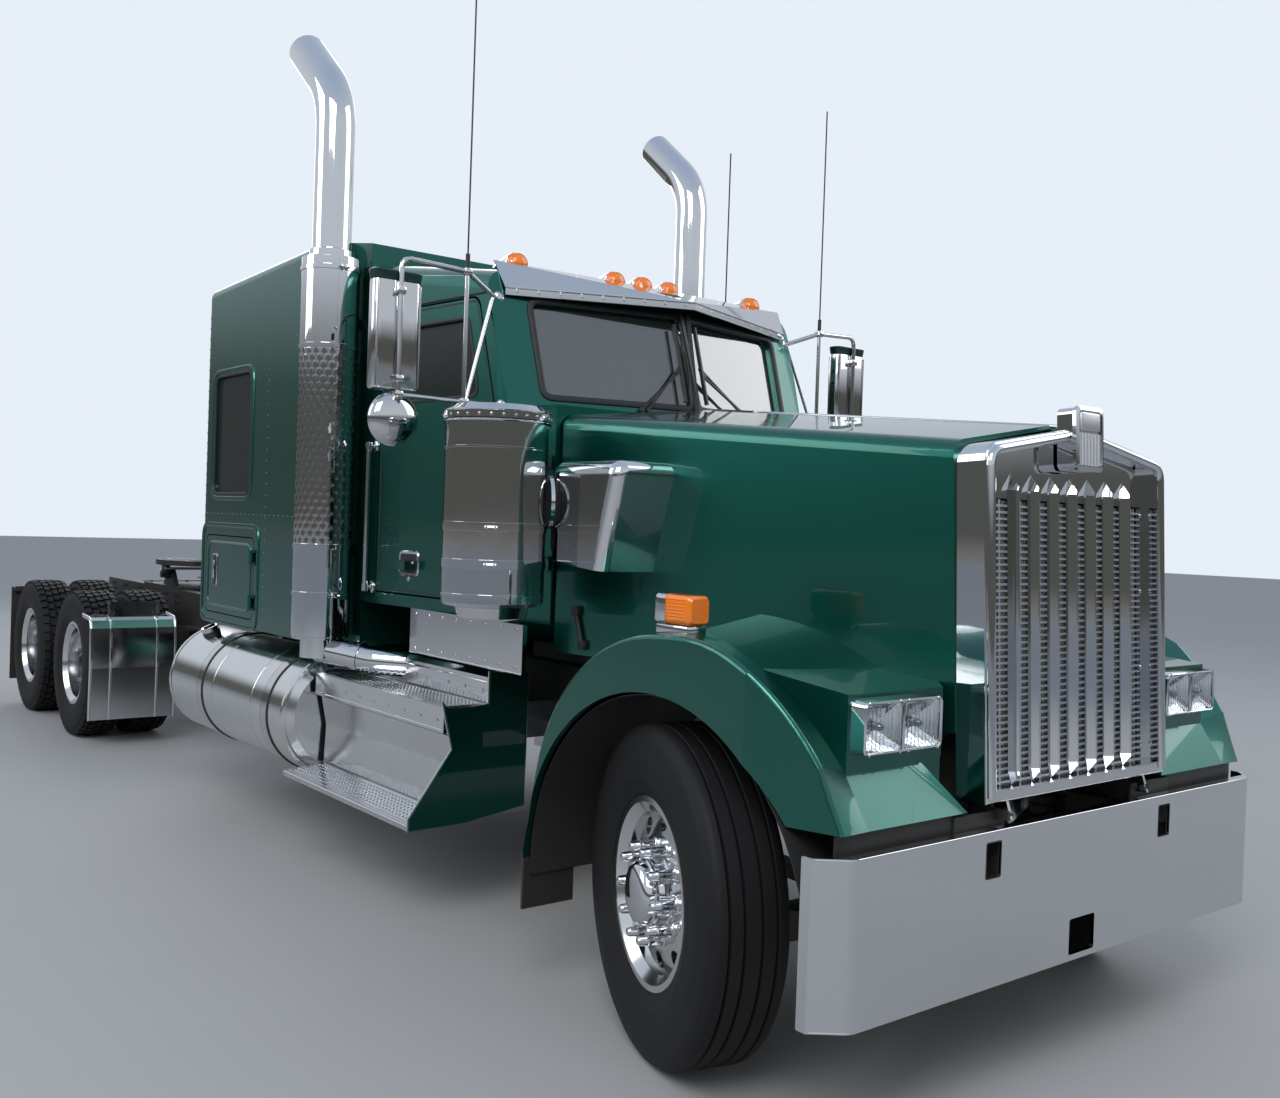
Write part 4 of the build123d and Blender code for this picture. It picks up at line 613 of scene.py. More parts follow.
driveCover = ((0.138, -0.001), (0.138, 0.006), (0.124, 0.01), (0.121, 0.05), (0.11, 0.056), (0.1085, 0.14),
              (0.104, 0.146), (0.1035, 0.152), (0.098, 0.156), (0.092, 0.16), (0.082, 0.166), (0.06, 0.169),
              (0.0, 0.171))


def addNutRing(bm, x, y, z, profile, radius, count, steps=20):
    for i in range(count):
        angle = math.tau * (i + 0.5) / count
        addLathe(bm, profile, wheelMatrix(x, y + radius * math.sin(angle), z + radius * math.cos(angle)), steps)


def addHubBolts(bm, x, y, z, radius, count, head):
    for i in range(count):
        angle = math.tau * i / count
        centre = at(x, y + radius * math.sin(angle), z + radius * math.cos(angle))
        bmesh.ops.create_cone(bm, cap_ends=True, segments=6, radius1=head, radius2=head * 0.92, depth=0.012,
                              matrix=frameFrom(centre, outX))


def placeSide(bm, side, steered):
    # the +X wheel moved to its side, then turned about its kingpin
    if side < 0:
        bmesh.ops.scale(bm, vec=(-1, 1, 1), verts=bm.verts[:])
    if steered:
        pin = Matrix.Translation(at(side * steerWheel["kingpinX"], 0, 0))
        turn = pin @ Matrix.Rotation(math.radians(steerWheel["turn"]), 4, "Z") @ pin.inverted()
        bmesh.ops.transform(bm, matrix=turn, verts=bm.verts[:])


def makeWheels(s, d):
    for side, word in bothSides:
        bm = newBm()
        addTyre(bm, steerTread, s["centreX"], 0, s["centreZ"], 128)
        placeSide(bm, side, True)
        makePiece(f"steer_tyre_{word}", bm, "tyre_rubber", f"front_wheel_{word}", [f"front_tyre_{word}"], both=False,
                  smooth=40)
        bm = newBm()
        addNutRing(bm, s["discX"], 0, s["centreZ"], nutCover, s["nutRadius"], s["nutCount"])
        addLathe(bm, hubCover, wheelMatrix(s["discX"], 0, s["centreZ"]), 64)
        addHubBolts(bm, s["discX"] + 0.058, 0, s["centreZ"], 0.101, 5, 0.009)
        placeSide(bm, side, True)
        makePiece(f"steer_hub_cover_{word}", bm, "bright_chrome", f"front_wheel_{word}", both=False)
        for place, y in d["axles"].items():
            bm = newBm()
            for x in (d["outerX"], d["outerX"] - d["spacing"]):
                addTyre(bm, driveTread, x, y, d["centreZ"], 72)
                addLugs(bm, x, y, d["centreZ"], lugRows)
            placeSide(bm, side, False)
            makePiece(f"lug_tyres_{place}_{word}", bm, "tyre_rubber", f"drive_wheel_{place}_{word}",
                      [f"drive_tyres_{place}_{word}"], both=False, smooth=40)
            bm = newBm()
            addNutRing(bm, d["discX"], y, d["centreZ"], nutCover, s["nutRadius"] + 0.012, s["nutCount"])
            addLathe(bm, driveCover, wheelMatrix(d["discX"], y, d["centreZ"]), 64)
            addHubBolts(bm, d["discX"] + 0.15, y, d["centreZ"], 0.1, 8, 0.008)
            placeSide(bm, side, False)
            makePiece(f"drive_hub_cover_{place}_{word}", bm, "bright_chrome", f"drive_wheel_{place}_{word}",
                      both=False)
    print("wheels and tyres made")


makeWheels(steerWheel, driveWheel)


# fenders: liners, valance and hooks

underbody = {
    "linerX": (0.6, 1.152),
    "linerRadius": 0.668,
    "archZ": 0.487,
    "valance": ((0.6, -0.703), (1.03, -0.703), (1.085, -0.688)),
    "valanceZ": (0.7, 0.862),
    "bracket": ((0.36, -0.712, 0.702), (0.6, -0.7, 0.858)),
    "prop": ((1.02, -0.662, 0.86), (1.02, -0.668, 0.79), (1.09, -0.64, 0.78)),
    "propRadius": 0.007,
    "arc": (-4, 171, 28),
}


def addStrip(bm, rows):
    # skin over rows of points, all rows of the same length
    made = [[bm.verts.new(p) for p in row] for row in rows]
    for a, b in zip(made, made[1:]):
        for i in range(len(a) - 1):
            bm.faces.new((a[i], a[i + 1], b[i + 1], b[i]))


def thicken(bm, depth):
    bmesh.ops.recalc_face_normals(bm, faces=bm.faces[:])
    bmesh.ops.solidify(bm, geom=bm.faces[:], thickness=depth)


def makeUnderbody(s):
    bm = newBm()
    x0, x1 = s["linerX"]
    rows = []
    start, sweep, steps = s["arc"]
    for i in range(steps + 1):
        a = math.radians(start + sweep * i / steps)
        y, z = s["linerRadius"] * math.cos(a), s["archZ"] + s["linerRadius"] * math.sin(a)
        rows.append([at(x, y, z) for x in (x0, (x0 + x1) / 2, x1)])
    addStrip(bm, rows)
    thicken(bm, 0.003)
    makePiece("fender_liners", bm, "black_plastic", "hood")
    bm = newBm()
    z0, z1 = s["valanceZ"]
    addStrip(bm, [[at(x, y, z) for x, y in s["valance"]] for z in (z0, z1)])
    thicken(bm, 0.004)
    addBox(bm, *(at(*p) for p in s["bracket"]), 0.002)
    makePiece("bumper_valance", bm, "chassis_black")
    bm = newBm()
    # fender prop: small bright hook and its foot
    addPipe(bm, bendPoints([at(*p) for p in s["prop"]], 0.02), s["propRadius"], 10)
    makePiece("fender_hooks", bm, "polished_steel", "hood")


makeUnderbody(underbody)

# headlamps and turn lamps

lampHouse = {
    "outer": 0.972,
    "width": 0.345,
    "low": 1.058,
    "height": 0.158,
    "back": -0.6245,
    "front": -0.68,
    "rim": 0.012,
    "draft": 0.004,
    "mullion": 0.5,
    "screwInset": (0.012, 0.006),
    "bowl": (0.052, 0.044, 0.03),
    "bowlRings": 8,
    "flutes": 8,
    "fluteInset": (0.012, 0.008),
    "lensDepths": (0.01, 0.006, 0.003),
    "bulbDepths": (0.045, 0.022, 0.016),
    "bulbRadii": (0.011, 0.006),
}


def roundedOutline(x0, x1, z0, z1, radius, steps=5):
    points = []
    for cx, cz, start in ((x1 - radius, z0 + radius, -90), (x1 - radius, z1 - radius, 0),
                          (x0 + radius, z1 - radius, 90), (x0 + radius, z0 + radius, 180)):
        for i in range(steps + 1):
            a = math.radians(start + 90 * i / steps)
            points.append((cx + radius * math.cos(a), cz + radius * math.sin(a)))
    return points


def addSleeve(bm, rings, closed=False, capFirst=False, capLast=False):
    # skin between closed rings of points
    made = [[bm.verts.new(p) for p in ring] for ring in rings]
    pairs = list(zip(made, made[1:])) + ([(made[-1], made[0])] if closed else [])
    for a, b in pairs:
        for i in range(len(a)):
            j = (i + 1) % len(a)
            bm.faces.new((a[i], a[j], b[j], b[i]))
    if capFirst:
        bm.faces.new(made[0])
    if capLast:
        bm.faces.new(made[-1])


def addLoft(bm, rings):
    # closed skin with both of its ends filled
    addSleeve(bm, rings, capFirst=True, capLast=True)


def ringAt(outline, y):
    return [at(x, y, z) for x, z in outline]


def makeHeadlamps(s):
    x1, x0 = s["outer"], s["outer"] - s["width"]
    z0, z1 = s["low"], s["low"] + s["height"]
    rim, draft = s["rim"], s["draft"]
    mid = (x0 + x1) / 2
    bm = newBm()
    cells = ((x0 + rim, mid - rim * 0.55), (mid + rim * 0.55, x1 - rim))

    def shape(grow, y, r):
        return ringAt(roundedOutline(x0 - grow, x1 + grow, z0 - grow, z1 + grow, r), y)

    addSleeve(bm, [shape(0, s["back"], 0.02), shape(-draft * 0.4, s["back"] - 0.02, 0.02),
                   shape(-draft, s["front"] + 0.004, 0.018), shape(-draft - 0.003, s["front"], 0.016),
                   shape(-rim + 0.002, s["front"], 0.01), shape(-rim - 0.001, s["front"] + 0.004, 0.009),
                   shape(-rim - 0.002, s["back"] - 0.004, 0.009), shape(0, s["back"], 0.02)])
    front, half = s["front"], rim * s["mullion"]
    addBox(bm, at(mid - half, front + 0.004, z0 + rim), at(mid + half, s["back"], z1 - rim), 0.002)
    insetX, insetZ = s["screwInset"]
    for a, b in cells:
        for x in (a + insetX, b - insetX):
            for z in (z0 + insetZ, z1 - insetZ):
                addRod(bm, at(x, front - 0.0008, z), at(x, front + 0.004, z), 0.0035, 10)
    makePiece("headlamp_bezels", bm, "bright_chrome", "hood", ["headlamps"])
    bm, glass, bulbs = newBm(), newBm(), newBm()
    (bowlRadius, bowlDepth, bowlRise), (fluteX, fluteZ) = s["bowl"], s["fluteInset"]
    (far, near, tip), (bulb, bulbTip) = s["bulbDepths"], s["bulbRadii"]
    for a, b in cells:
        cx, cz = (a + b) / 2, (z0 + z1) / 2
        half, tall = (b - a) / 2, (z1 - z0) / 2 - rim
        rings = []
        # the bowl goes from round at its bottom to the cell's outline at its mouth
        for k in range(1, s["bowlRings"] + 1):
            t = k / s["bowlRings"]
            blend = t ** 0.6
            r = bowlRadius * t
            ring = []
            for px, pz in roundedOutline(-half, half, -tall, tall, 0.012):
                angle = math.atan2(pz, px)
                x = cx + px * blend * t + r * math.cos(angle) * (1 - blend)
                z = cz + pz * blend * t + r * math.sin(angle) * (1 - blend)
                ring.append(at(x, front + bowlDepth - bowlRise * t ** 2, z))
            rings.append(ring)
        addSleeve(bm, rings, capFirst=True)
        # low flutes moulded in the lens
        for i in range(s["flutes"] + 1):
            x = a + fluteX + (b - a - 2 * fluteX) * i / s["flutes"]
            addRod(glass, at(x, front + 0.0075, z0 + rim + fluteZ), at(x, front + 0.0075, z1 - rim - fluteZ), 0.0022,
                   8)
        outline = roundedOutline(a, b, z0 + rim, z1 - rim, 0.01)
        inner = roundedOutline(a + 0.008, b - 0.008, z0 + rim + 0.008, z1 - rim - 0.008, 0.008)
        layers = zip((outline, outline, inner), s["lensDepths"])
        addLoft(glass, [ringAt(shape2d, front + depth) for shape2d, depth in layers])
        addRod(bulbs, at(cx, front + far, cz), at(cx, front + near, cz), bulb, 18)
        addRod(bulbs, at(cx, front + near, cz), at(cx, front + tip, cz), bulb, 18, bulbTip)
    makePiece("headlamp_reflectors", bm, "bright_chrome", "hood", look="lamp_reflector")
    makePiece("headlamp_bulbs", bulbs, "bright_chrome", "hood", look="lamp_cap")
    makePiece("headlamp_lenses", glass, "dark_glass", "hood", look="clear_glass")


makeHeadlamps(lampHouse)

# inner corner below each headlamp, between the slanted facet and the nose
podCorner = {
    "facet": ((0.8, -0.716, 0.868), (0.547, -0.716, 0.868), (0.656, -0.618, 1.016)),
    "back": ((0.656, -0.6225, 0.868), (0.547, -0.604, 0.868)),
    "wall": ((0.72, -0.6225), (0.565, -0.6225), (0.4985, -0.552)),
    "wallZ": (0.868, 1.026),
    "sheet": 0.006,
}


def makePodCorners(s):
    bm = newBm()
    outer, inner, top = (bm.verts.new(at(*p)) for p in s["facet"])
    low, side = (bm.verts.new(at(*p)) for p in s["back"])
    for face in ((outer, inner, top), (inner, side, top), (outer, low, side, inner), (top, side, low),
                 (top, low, outer)):
        bm.faces.new(face)
    wall = newBm()
    addStrip(wall, [[at(x, y, z) for x, y in s["wall"]] for z in s["wallZ"]])
    thicken(wall, s["sheet"])
    makePiece("pod_corners", bm, "green_paint", "hood")
    makePiece("pod_walls", wall, "green_paint", "hood")


makePodCorners(podCorner)

turnLamp = {
    "x": (1.003, 1.097),
    "y": (-0.072, 0.107),
    "z": (1.368, 1.467),
    "split": 0.052,
    "ridges": (7, 0.018, 0.0105, 0.004),
    "foot": ((1.01, -0.06), (1.09, 0.095)),
    "footZ": (1.3385, 1.37),
}


def makeTurnLamps(s):
    (x0, x1), (y0, y1), (z0, z1) = s["x"], s["y"], s["z"]
    bm, frameBm = newBm(), newBm()
    outline = roundedOutline(x0 + 0.003, x1 - 0.003, z0 + 0.003, z1 - 0.003, 0.016)
    small = roundedOutline(x0 + 0.012, x1 - 0.012, z0 + 0.012, z1 - 0.012, 0.012)
    addLoft(bm, [ringAt(outline, s["split"]), ringAt(outline, y0 + 0.012), ringAt(small, y0)])
    count, first, pitch, tall = s["ridges"]
    for i in range(count):
        z = z0 + first + pitch * i
        addBox(bm, at(x0 + 0.0015, y0 + 0.02, z), at(x1 - 0.0015, s["split"] - 0.006, z + tall), 0.0012, 1)
    big = roundedOutline(x0, x1, z0, z1, 0.018)
    back = roundedOutline(x0 + 0.01, x1 - 0.01, z0 + 0.008, z1 - 0.01, 0.014)
    addLoft(frameBm, [ringAt(big, s["split"] - 0.01), ringAt(big, s["split"] + 0.018), ringAt(big, y1 - 0.018),
                      ringAt(back, y1)])
    addBox(frameBm, *(at(*corner, z) for corner, z in zip(s["foot"], s["footZ"])), 0.006)
    makePiece("turn_lamp_lenses", bm, "amber_plastic", "hood", ["turn_lamps"])
    makePiece("turn_lamp_frames", frameBm, "bright_chrome", "hood")


makeTurnLamps(turnLamp)
print("front lamps made")


# seals, glass edges and the screen

def softLoop(points, radius, steps=5):
    # closed outline with its corners rounded
    loop, count = [], len(points)
    for i in range(count):
        before, corner, after = (Vector(points[k % count]) for k in (i - 1, i, i + 1))
        a, b = (before - corner).normalized(), (after - corner).normalized()
        half = math.acos(max(-1.0, min(1.0, a.dot(b)))) / 2
        back = min(radius / math.tan(half), (before - corner).length * 0.49, (after - corner).length * 0.49)
        start, end = corner + a * back, corner + b * back
        for k in range(steps + 1):
            t = k / steps
            loop.append(tuple(start * (1 - t) ** 2 + corner * 2 * t * (1 - t) + end * t ** 2))
    return loop


def grownLoop(points, grow):
    # convex outline moved outward; the outline runs anticlockwise
    out, count = [], len(points)
    for i in range(count):
        p, q, r = (Vector(points[k % count]) for k in (i - 1, i, i + 1))
        d1, d2 = (q - p).normalized(), (r - q).normalized()
        n1, n2 = Vector((d1.y, -d1.x)), Vector((d2.y, -d2.x))
        mean = (n1 + n2).normalized()
        out.append(tuple(q + mean * (grow / max(mean.dot(n1), 0.2))))
    return out


def addSeal(bm, outline, radius, toPoint, layers, steps=5):
    # moulding round an outline; layers are (distance outward, height)
    rings = []
    for grow, height in layers:
        loop = softLoop(grownLoop(outline, grow), max(radius + grow, 0.003), steps)
        rings.append([toPoint(a, b, height) for a, b in loop])
    addSleeve(bm, rings, closed=True)


def addRecess(trim, dark, outline, radius, toPoint, bezel):
    # bezel round a dark plate of one thickness, laid just on the skin
    sheet = 0.0015
    addSeal(trim, outline, radius, toPoint, bezel)
    plate = [toPoint(a, b, sheet) for a, b in outline]
    addLoft(dark, [plate, [p + Vector((sheet, 0, 0)) for p in plate]])


def makeSided(side, word, body, pieces):
    # pieces drawn on the +X side, moved to their own side of the truck
    for bm, name, slot in pieces:
        if side < 0:
            bmesh.ops.scale(bm, vec=(-1, 1, 1), verts=bm.verts[:])
        makePiece(f"{name}_{word}", bm, slot, f"{body}_{word}", both=False)


def box2d(y0, y1, z0, z1):
    return [(y0, z0), (y1, z0), (y1, z1), (y0, z1)]


screenPlane = {"base": (0, 1.19, 2.17), "along": (0.69, 1.35, 2.17), "top": (0, 1.32, 2.61)}


def onScreen(u, v, h):
    # a point of the +X screen plane: along its base, up the glass, out of it
    base, along, top = (Vector(screenPlane[k]) for k in ("base", "along", "top"))
    across = (along - base).normalized()
    out = across.cross(top - base).normalized()
    p = base + across * u + out.cross(across) * v + out * h
    return at(*p)


def onSleeper(y, z, h):
    return at(1.084 + h, y, z)


def onDoor(y, z, h):
    return at(0.87 + (y - 1.45) * 0.0909 + h, y, z)


screenOutline = [(0.014, 0.026), (0.716, 0.026), (0.754, 0.452), (0.014, 0.452)]
rubberRound = ((-0.01, -0.004), (-0.01, 0.004), (-0.004, 0.009), (0.006, 0.01), (0.016, 0.007), (0.019, -0.001),
               (0.01, -0.006))
windowRubber = ((-0.007, -0.006), (-0.006, 0.002), (0.0, 0.005), (0.008, 0.004), (0.01, -0.002), (0.0, -0.008))
rimRaised = ((0.014, -0.002), (0.016, 0.005), (0.026, 0.008), (0.038, 0.006), (0.042, -0.002))
doorWindow = [(1.58, 2.195), (2.255, 2.195), (2.255, 2.53), (1.665, 2.53)]
sleeperWindow = box2d(3.6, 4.14, 1.77, 2.43)


def makeSeals():
    bm = newBm()
    addSeal(bm, screenOutline, 0.045, onScreen, rubberRound, 7)
    addSeal(bm, doorWindow, 0.04, onDoor, windowRubber)
    addSeal(bm, sleeperWindow, 0.06, onSleeper, windowRubber)
    # half of the post between the two panes
    post = [onScreen(u, v, 0.004) for u, v in box2d(-0.001, 0.02, 0.01, 0.466)]
    addLoft(bm, [post, [p + Vector((0, -0.012, 0.003)) for p in post]])
    makePiece("window_rubbers", bm, "flap_rubber")
    # raised painted rims pressed in the sleeper's sides
    bm = newBm()
    addSeal(bm, sleeperWindow, 0.06, onSleeper, rimRaised)
    addSeal(bm, box2d(3.47, 4.25, 1.075, 1.565), 0.045, onSleeper, rimRaised)
    makePiece("sleeper_rims", bm, "green_paint")


makeSeals()

visorShape = {
    "lip": (0, 1.232, 2.664),
    "end": (0.815, 1.5, 2.65),
    "rearMid": (0, 1.568, 2.776),
    "rearEnd": (0.835, 1.568, 2.768),
    "rivets": 9,
    "rivetOut": (-0.31, -0.95, 0),
    "fixings": (0.06, 0.42, 0.76),
    "lining": ((0.03, 0.06), (0.88, 0.84)),
}


def makeVisor(s):
    lip, end, rearMid, rearEnd = (at(*s[k]) for k in ("lip", "end", "rearMid", "rearEnd"))
    bm = newBm()
    down = Vector((0, 0.004, -0.006))
    addStrip(bm, [[lip.lerp(rearMid, a) + down, end.lerp(rearEnd, b) + down] for a, b in s["lining"]])
    makePiece("visor_linings", bm, "black_plastic")
    bm = newBm()
    for drop, radius in ((0.0, 0.005), (-0.03, 0.004)):
        addPipe(bm, [p + Vector((0, -0.002, drop)) for p in (lip, end)], radius, 10)
    for i in range(s["rivets"]):
        t = (i + 0.5) / s["rivets"]
        p = lip.lerp(end, t) + Vector(s["rivetOut"]) * 0.003 + Vector((0, 0, -0.015))
        addHead(bm, "visorRivet", p, (0.31, -0.95, 0))
    for x in s["fixings"]:
        addHead(bm, "screw", at(x, 1.545, 2.772), (0, -0.33, 0.94))
    makePiece("visor_edges", bm, "bright_chrome")


makeVisor(visorShape)

roofLamp = {
    "xs": (0.0, 0.16, 0.69),
    "y": 1.575,
    "z": 2.782,
    "lens": ((0.0, 0.0), (0.018, 0.002), (0.032, 0.008), (0.041, 0.02), (0.0455, 0.036), (0.0465, 0.056)),
    "tail": ((0.0475, 0.05), (0.05, 0.052), (0.0505, 0.064), (0.048, 0.074), (0.043, 0.11), (0.033, 0.16),
             (0.02, 0.208), (0.008, 0.229), (0.0, 0.231)),
    "ringRadii": (0.0375, 0.0425, 0.045, 0.0462, 0.0468),
    "ringPlace": (0.014, 0.009),
}


def makeRoofLamps(s):
    lens, tail = newBm(), newBm()
    for x in s["xs"]:
        for sign in ((1,) if x == 0 else (1, -1)):
            place = frameFrom(at(x * sign, s["y"], s["z"]), outY)
            addLathe(lens, s["lens"], place, 32)
            for k, r in enumerate(s["ringRadii"]):
                h = s["ringPlace"][0] + s["ringPlace"][1] * k
                addLathe(lens, ((r, h - 0.0015), (r + 0.0014, h), (r, h + 0.0015)), place, 32)
            addLathe(tail, s["tail"], place, 32)
    makePiece("roof_lamp_lenses", lens, "amber_plastic", replaced=["roof_lamps"], both=False)
    makePiece("roof_lamp_tails", tail, "bright_chrome", both=False)


makeRoofLamps(roofLamp)

mirrorShape = {
    "x": (1.204, 1.411),
    "y": (1.488, 1.556),
    "z": (2.172, 2.6),
    "capTop": 2.64,
    "tube": 0.011,
    "post": (1.025, 1.455),
    "tubeY": 1.475,
    "roundZ": 2.058,
    "roundR": 0.1075,
    "feet": (((0.842, 1.524, 2.6), (0.5, -0.8, 0)), ((0.866, 1.425, 2.14), (1, -0.2, 0))),
    "footDisc": ((0.03, -0.006), (0.03, 0.003), (0.026, 0.007), (0.014, 0.01), (0.0, 0.01)),
}


def makeMirrors(s):
    (x0, x1), (y0, y1), (z0, z1) = s["x"], s["y"], s["z"]
    mid, px, py = (x0 + x1) / 2, *s["post"]

    def section(grow, z, front=0.0):
        loop = softLoop([(x0 - grow, y0 - grow * 0.6 + front), (x1 + grow, y0 - grow * 0.6 + front),
                         (x1 + grow, y1 + grow * 0.3), (x0 - grow, y1 + grow * 0.3)], 0.03, 7)
        return [at(x, y, z) for x, y in loop]

    bm = newBm()
    addLoft(bm, [section(-0.012, z0 - 0.001, 0.006), section(-0.003, z0 + 0.004), section(0, z0 + 0.012),
                 section(0, z1 - 0.006), section(-0.002, z1)])
    for x in (x0 + 0.012, x1 - 0.012):
        addPipe(bm, [at(x, y0 - 0.001, z0 + 0.012), at(x, y0 - 0.001, z1 - 0.012)], 0.004, 8)
    # dome of the round mirror
    place = frameFrom(at(mid, 1.504, s["roundZ"]), (0, -1, 0))
    r = s["roundR"]
    addLathe(bm, ((r - 0.004, -0.01), (r, -0.008), (r, 0.004), (r - 0.003, 0.009), (r * 0.93, 0.018),
                  (r * 0.8, 0.029), (r * 0.62, 0.038), (r * 0.42, 0.044), (r * 0.2, 0.047), (0, 0.048)), place, 56)
    makePiece("mirror_shells", bm, "polished_steel", replaced=["mirrors"])
    bm = newBm()
    addLoft(bm, [section(-0.001, z1 + 0.0005), section(0.001, z1 + 0.012), section(0.005, s["capTop"] - 0.008),
                 section(0.005, s["capTop"] - 0.002), section(0.002, s["capTop"])])
    makePiece("mirror_caps", bm, "green_paint", look="dark_paint")
    bm = newBm()
    addSlab(bm, [(x0 + 0.01, z0 + 0.014), (x1 - 0.01, z0 + 0.014), (x1 - 0.01, z1 - 0.01),
                 (x0 + 0.01, z1 - 0.01)], lambda a, b: at(a, y1 - 0.001, b), (0, 0.0022, 0))
    addLathe(bm, ((0.0, -0.0165), (r * 0.5, -0.0155), (r - 0.01, -0.011)), place, 48)
    makePiece("mirror_glass", bm, "dark_glass", look="mirror_face")
    bm = newBm()
    ty, tube = s["tubeY"], s["tube"]
    addPipe(bm, bendPoints([at(mid, ty, s["roundZ"] - 0.03), at(mid, ty, 2.69), at(px, py, 2.675),
                            at(0.838, 1.53, 2.6)], 0.045, 7), tube, 14)
    addPipe(bm, bendPoints([at(mid, ty, 2.152), at(px, py, 2.148), at(0.86, 1.425, 2.14)], 0.03, 4), tube, 14)
    addPipe(bm, [at(px, py, 2.676), at(px, py, 2.147)], 0.009, 12)
    addPipe(bm, [at(0.862, 1.522, 2.606), at(px - 0.012, py, 2.16)], 0.0085, 12)
    clamps = ((px, py, 2.674), (px, py, 2.148), (mid, ty, 2.154), (mid, ty, 2.215), (mid, ty, 2.56))
    for x, y, z in clamps:
        addBox(bm, at(x - 0.017, y - 0.017, z - 0.015), at(x + 0.017, y + 0.017, z + 0.015), 0.005)
        addRod(bm, at(x - 0.01, y - 0.022, z), at(x - 0.01, y + 0.022, z), 0.004, 6)
    for x, y, z in ((mid, ty, 2.215), (mid, ty, 2.56)):
        addBox(bm, at(x - 0.01, y, z - 0.009), at(x + 0.01, y0 + 0.004, z + 0.009), 0.002)
    for foot, out in s["feet"]:
        addLathe(bm, s["footDisc"], frameFrom(at(*foot), out), 20)
    addBox(bm, at(mid - 0.012, ty - 0.004, s["roundZ"] - 0.014), at(mid + 0.012, 1.5, s["roundZ"] + 0.014), 0.003)
    makePiece("mirror_frames", bm, "polished_steel")


makeMirrors(mirrorShape)
print("screen, visor, roof lamps and mirrors made")


# steps on the sides

stepShape = {
    "y": (1.48, 2.73),
    "low": ((1.186, 0.4495), (1.014, 0.4615)),
    "high": ((1.04, 0.9055), (0.858, 0.9055)),
    "thick": 0.003,
    "pitch": 0.03,
    "rows": 6,
    "holeRadius": 0.0055,
    "nosings": ((1.191, 0.434, 0.013), (1.042, 0.896, 0.01)),
    "beads": ((1.0535, 0.812), (0.844, 1.0)),
    "rivets": ((1.0525, 0.85), (0.8425, 0.96)),
    "rivetGaps": 8,
    "slits": (((0.985, 0.786), (1.0205, 0.797), 0.008), ((0.955, 0.464), (0.998, 0.474), 0.02)),
    "plateY": 1.4715,
    "plate": ((0.655, 0.466), (0.95, 0.424), (1.198, 0.422), (1.198, 0.47), (1.011, 0.735), (1.06, 0.93),
              (1.03, 0.89), (0.843, 0.906), (0.843, 1.04), (0.655, 1.04)),
}


def addTread(bm, holes, s, ends):
    (x0, z0), (x1, z1) = ends
    y0, y1 = s["y"]
    slope = Vector((x1 - x0, 0, z1 - z0))
    normal = Vector((-slope.z, 0, slope.x)) * (1 if slope.x > 0 else -1)
    normal.normalize()
    corner = [at(x0, y0 + 0.02, z0), at(x0, y1 - 0.02, z0), at(x1, y1 - 0.02, z1), at(x1, y0 + 0.02, z1)]
    addLoft(bm, [corner, [p + normal * s["thick"] for p in corner]])
    columns = int((y1 - y0 - 0.08) / s["pitch"])
    for j in range(s["rows"]):
        across = Vector((x0, 0, z0)) + slope * ((j + 0.8) / (s["rows"] + 0.6))
        for i in range(columns):
            y = y0 + 0.045 + s["pitch"] * (i + 0.5 * (j % 2))
            foot = at(across.x, y, across.z) + normal * s["thick"]
            place = frameFrom(foot + normal * 0.001, normal)
            r = s["holeRadius"]
            bmesh.ops.create_cone(bm, cap_ends=False, segments=10, radius1=r + 0.0035, radius2=r + 0.001, depth=0.002,
                                  matrix=place)
            bmesh.ops.create_circle(holes, cap_ends=True, segments=10, radius=r + 0.001,
                                    matrix=frameFrom(foot + normal * 0.0019, normal))


def makeSteps(s):
    bm, holes = newBm(), newBm()
    for ends in (s["low"], s["high"]):
        addTread(bm, holes, s, ends)
    makePiece("step_treads", bm, "polished_aluminium", recalc=False)
    makePiece("step_tread_holes", holes, "black_plastic", recalc=False)
    bm = newBm()
    y0, y1 = s["y"]
    for x, z, r in s["nosings"]:
        addRod(bm, at(x, y0, z), at(x, y1, z), r, 20)
    for x, z in s["beads"]:
        addRod(bm, at(x - 0.003, y0 + 0.01, z), at(x - 0.003, y1 - 0.01, z), 0.004, 8)
    for i in range(s["rivetGaps"] + 1):
        y = y0 + 0.05 + (y1 - y0 - 0.1) * i / s["rivetGaps"]
        for x, z in s["rivets"]:
            addHead(bm, "stepRivet", at(x, y, z), outX)
    makePiece("step_nosings", bm, "bright_chrome")
    bm = newBm()
    for (x0, z0), (x1, z1), inset in s["slits"]:
        addBox(bm, at(x0, y0 + inset, z0), at(x1, y1 - inset, z1), 0.002)
    makePiece("step_slits", bm, "black_plastic")
    bm = newBm()
    addSlab(bm, s["plate"], lambda a, b: at(a, s["plateY"], b), (0, 0.003, 0))
    makePiece("step_end_plates", bm, "green_paint")


makeSteps(stepShape)

# exhaust guards and stacks

stackShape = {
    "x": 1.105,
    "y": 2.585,
    "radius": 0.131,
    "guard": 0.1345,
    "zone": (1.53, 2.45),
    "around": 22,
    "rows": 28,
    "hole": 0.0095,
    "low": 1.1,
    "top": 2.87,
    "pipe": 0.09,
    "collar": 0.004,
    "bandZ": 1.3,
}


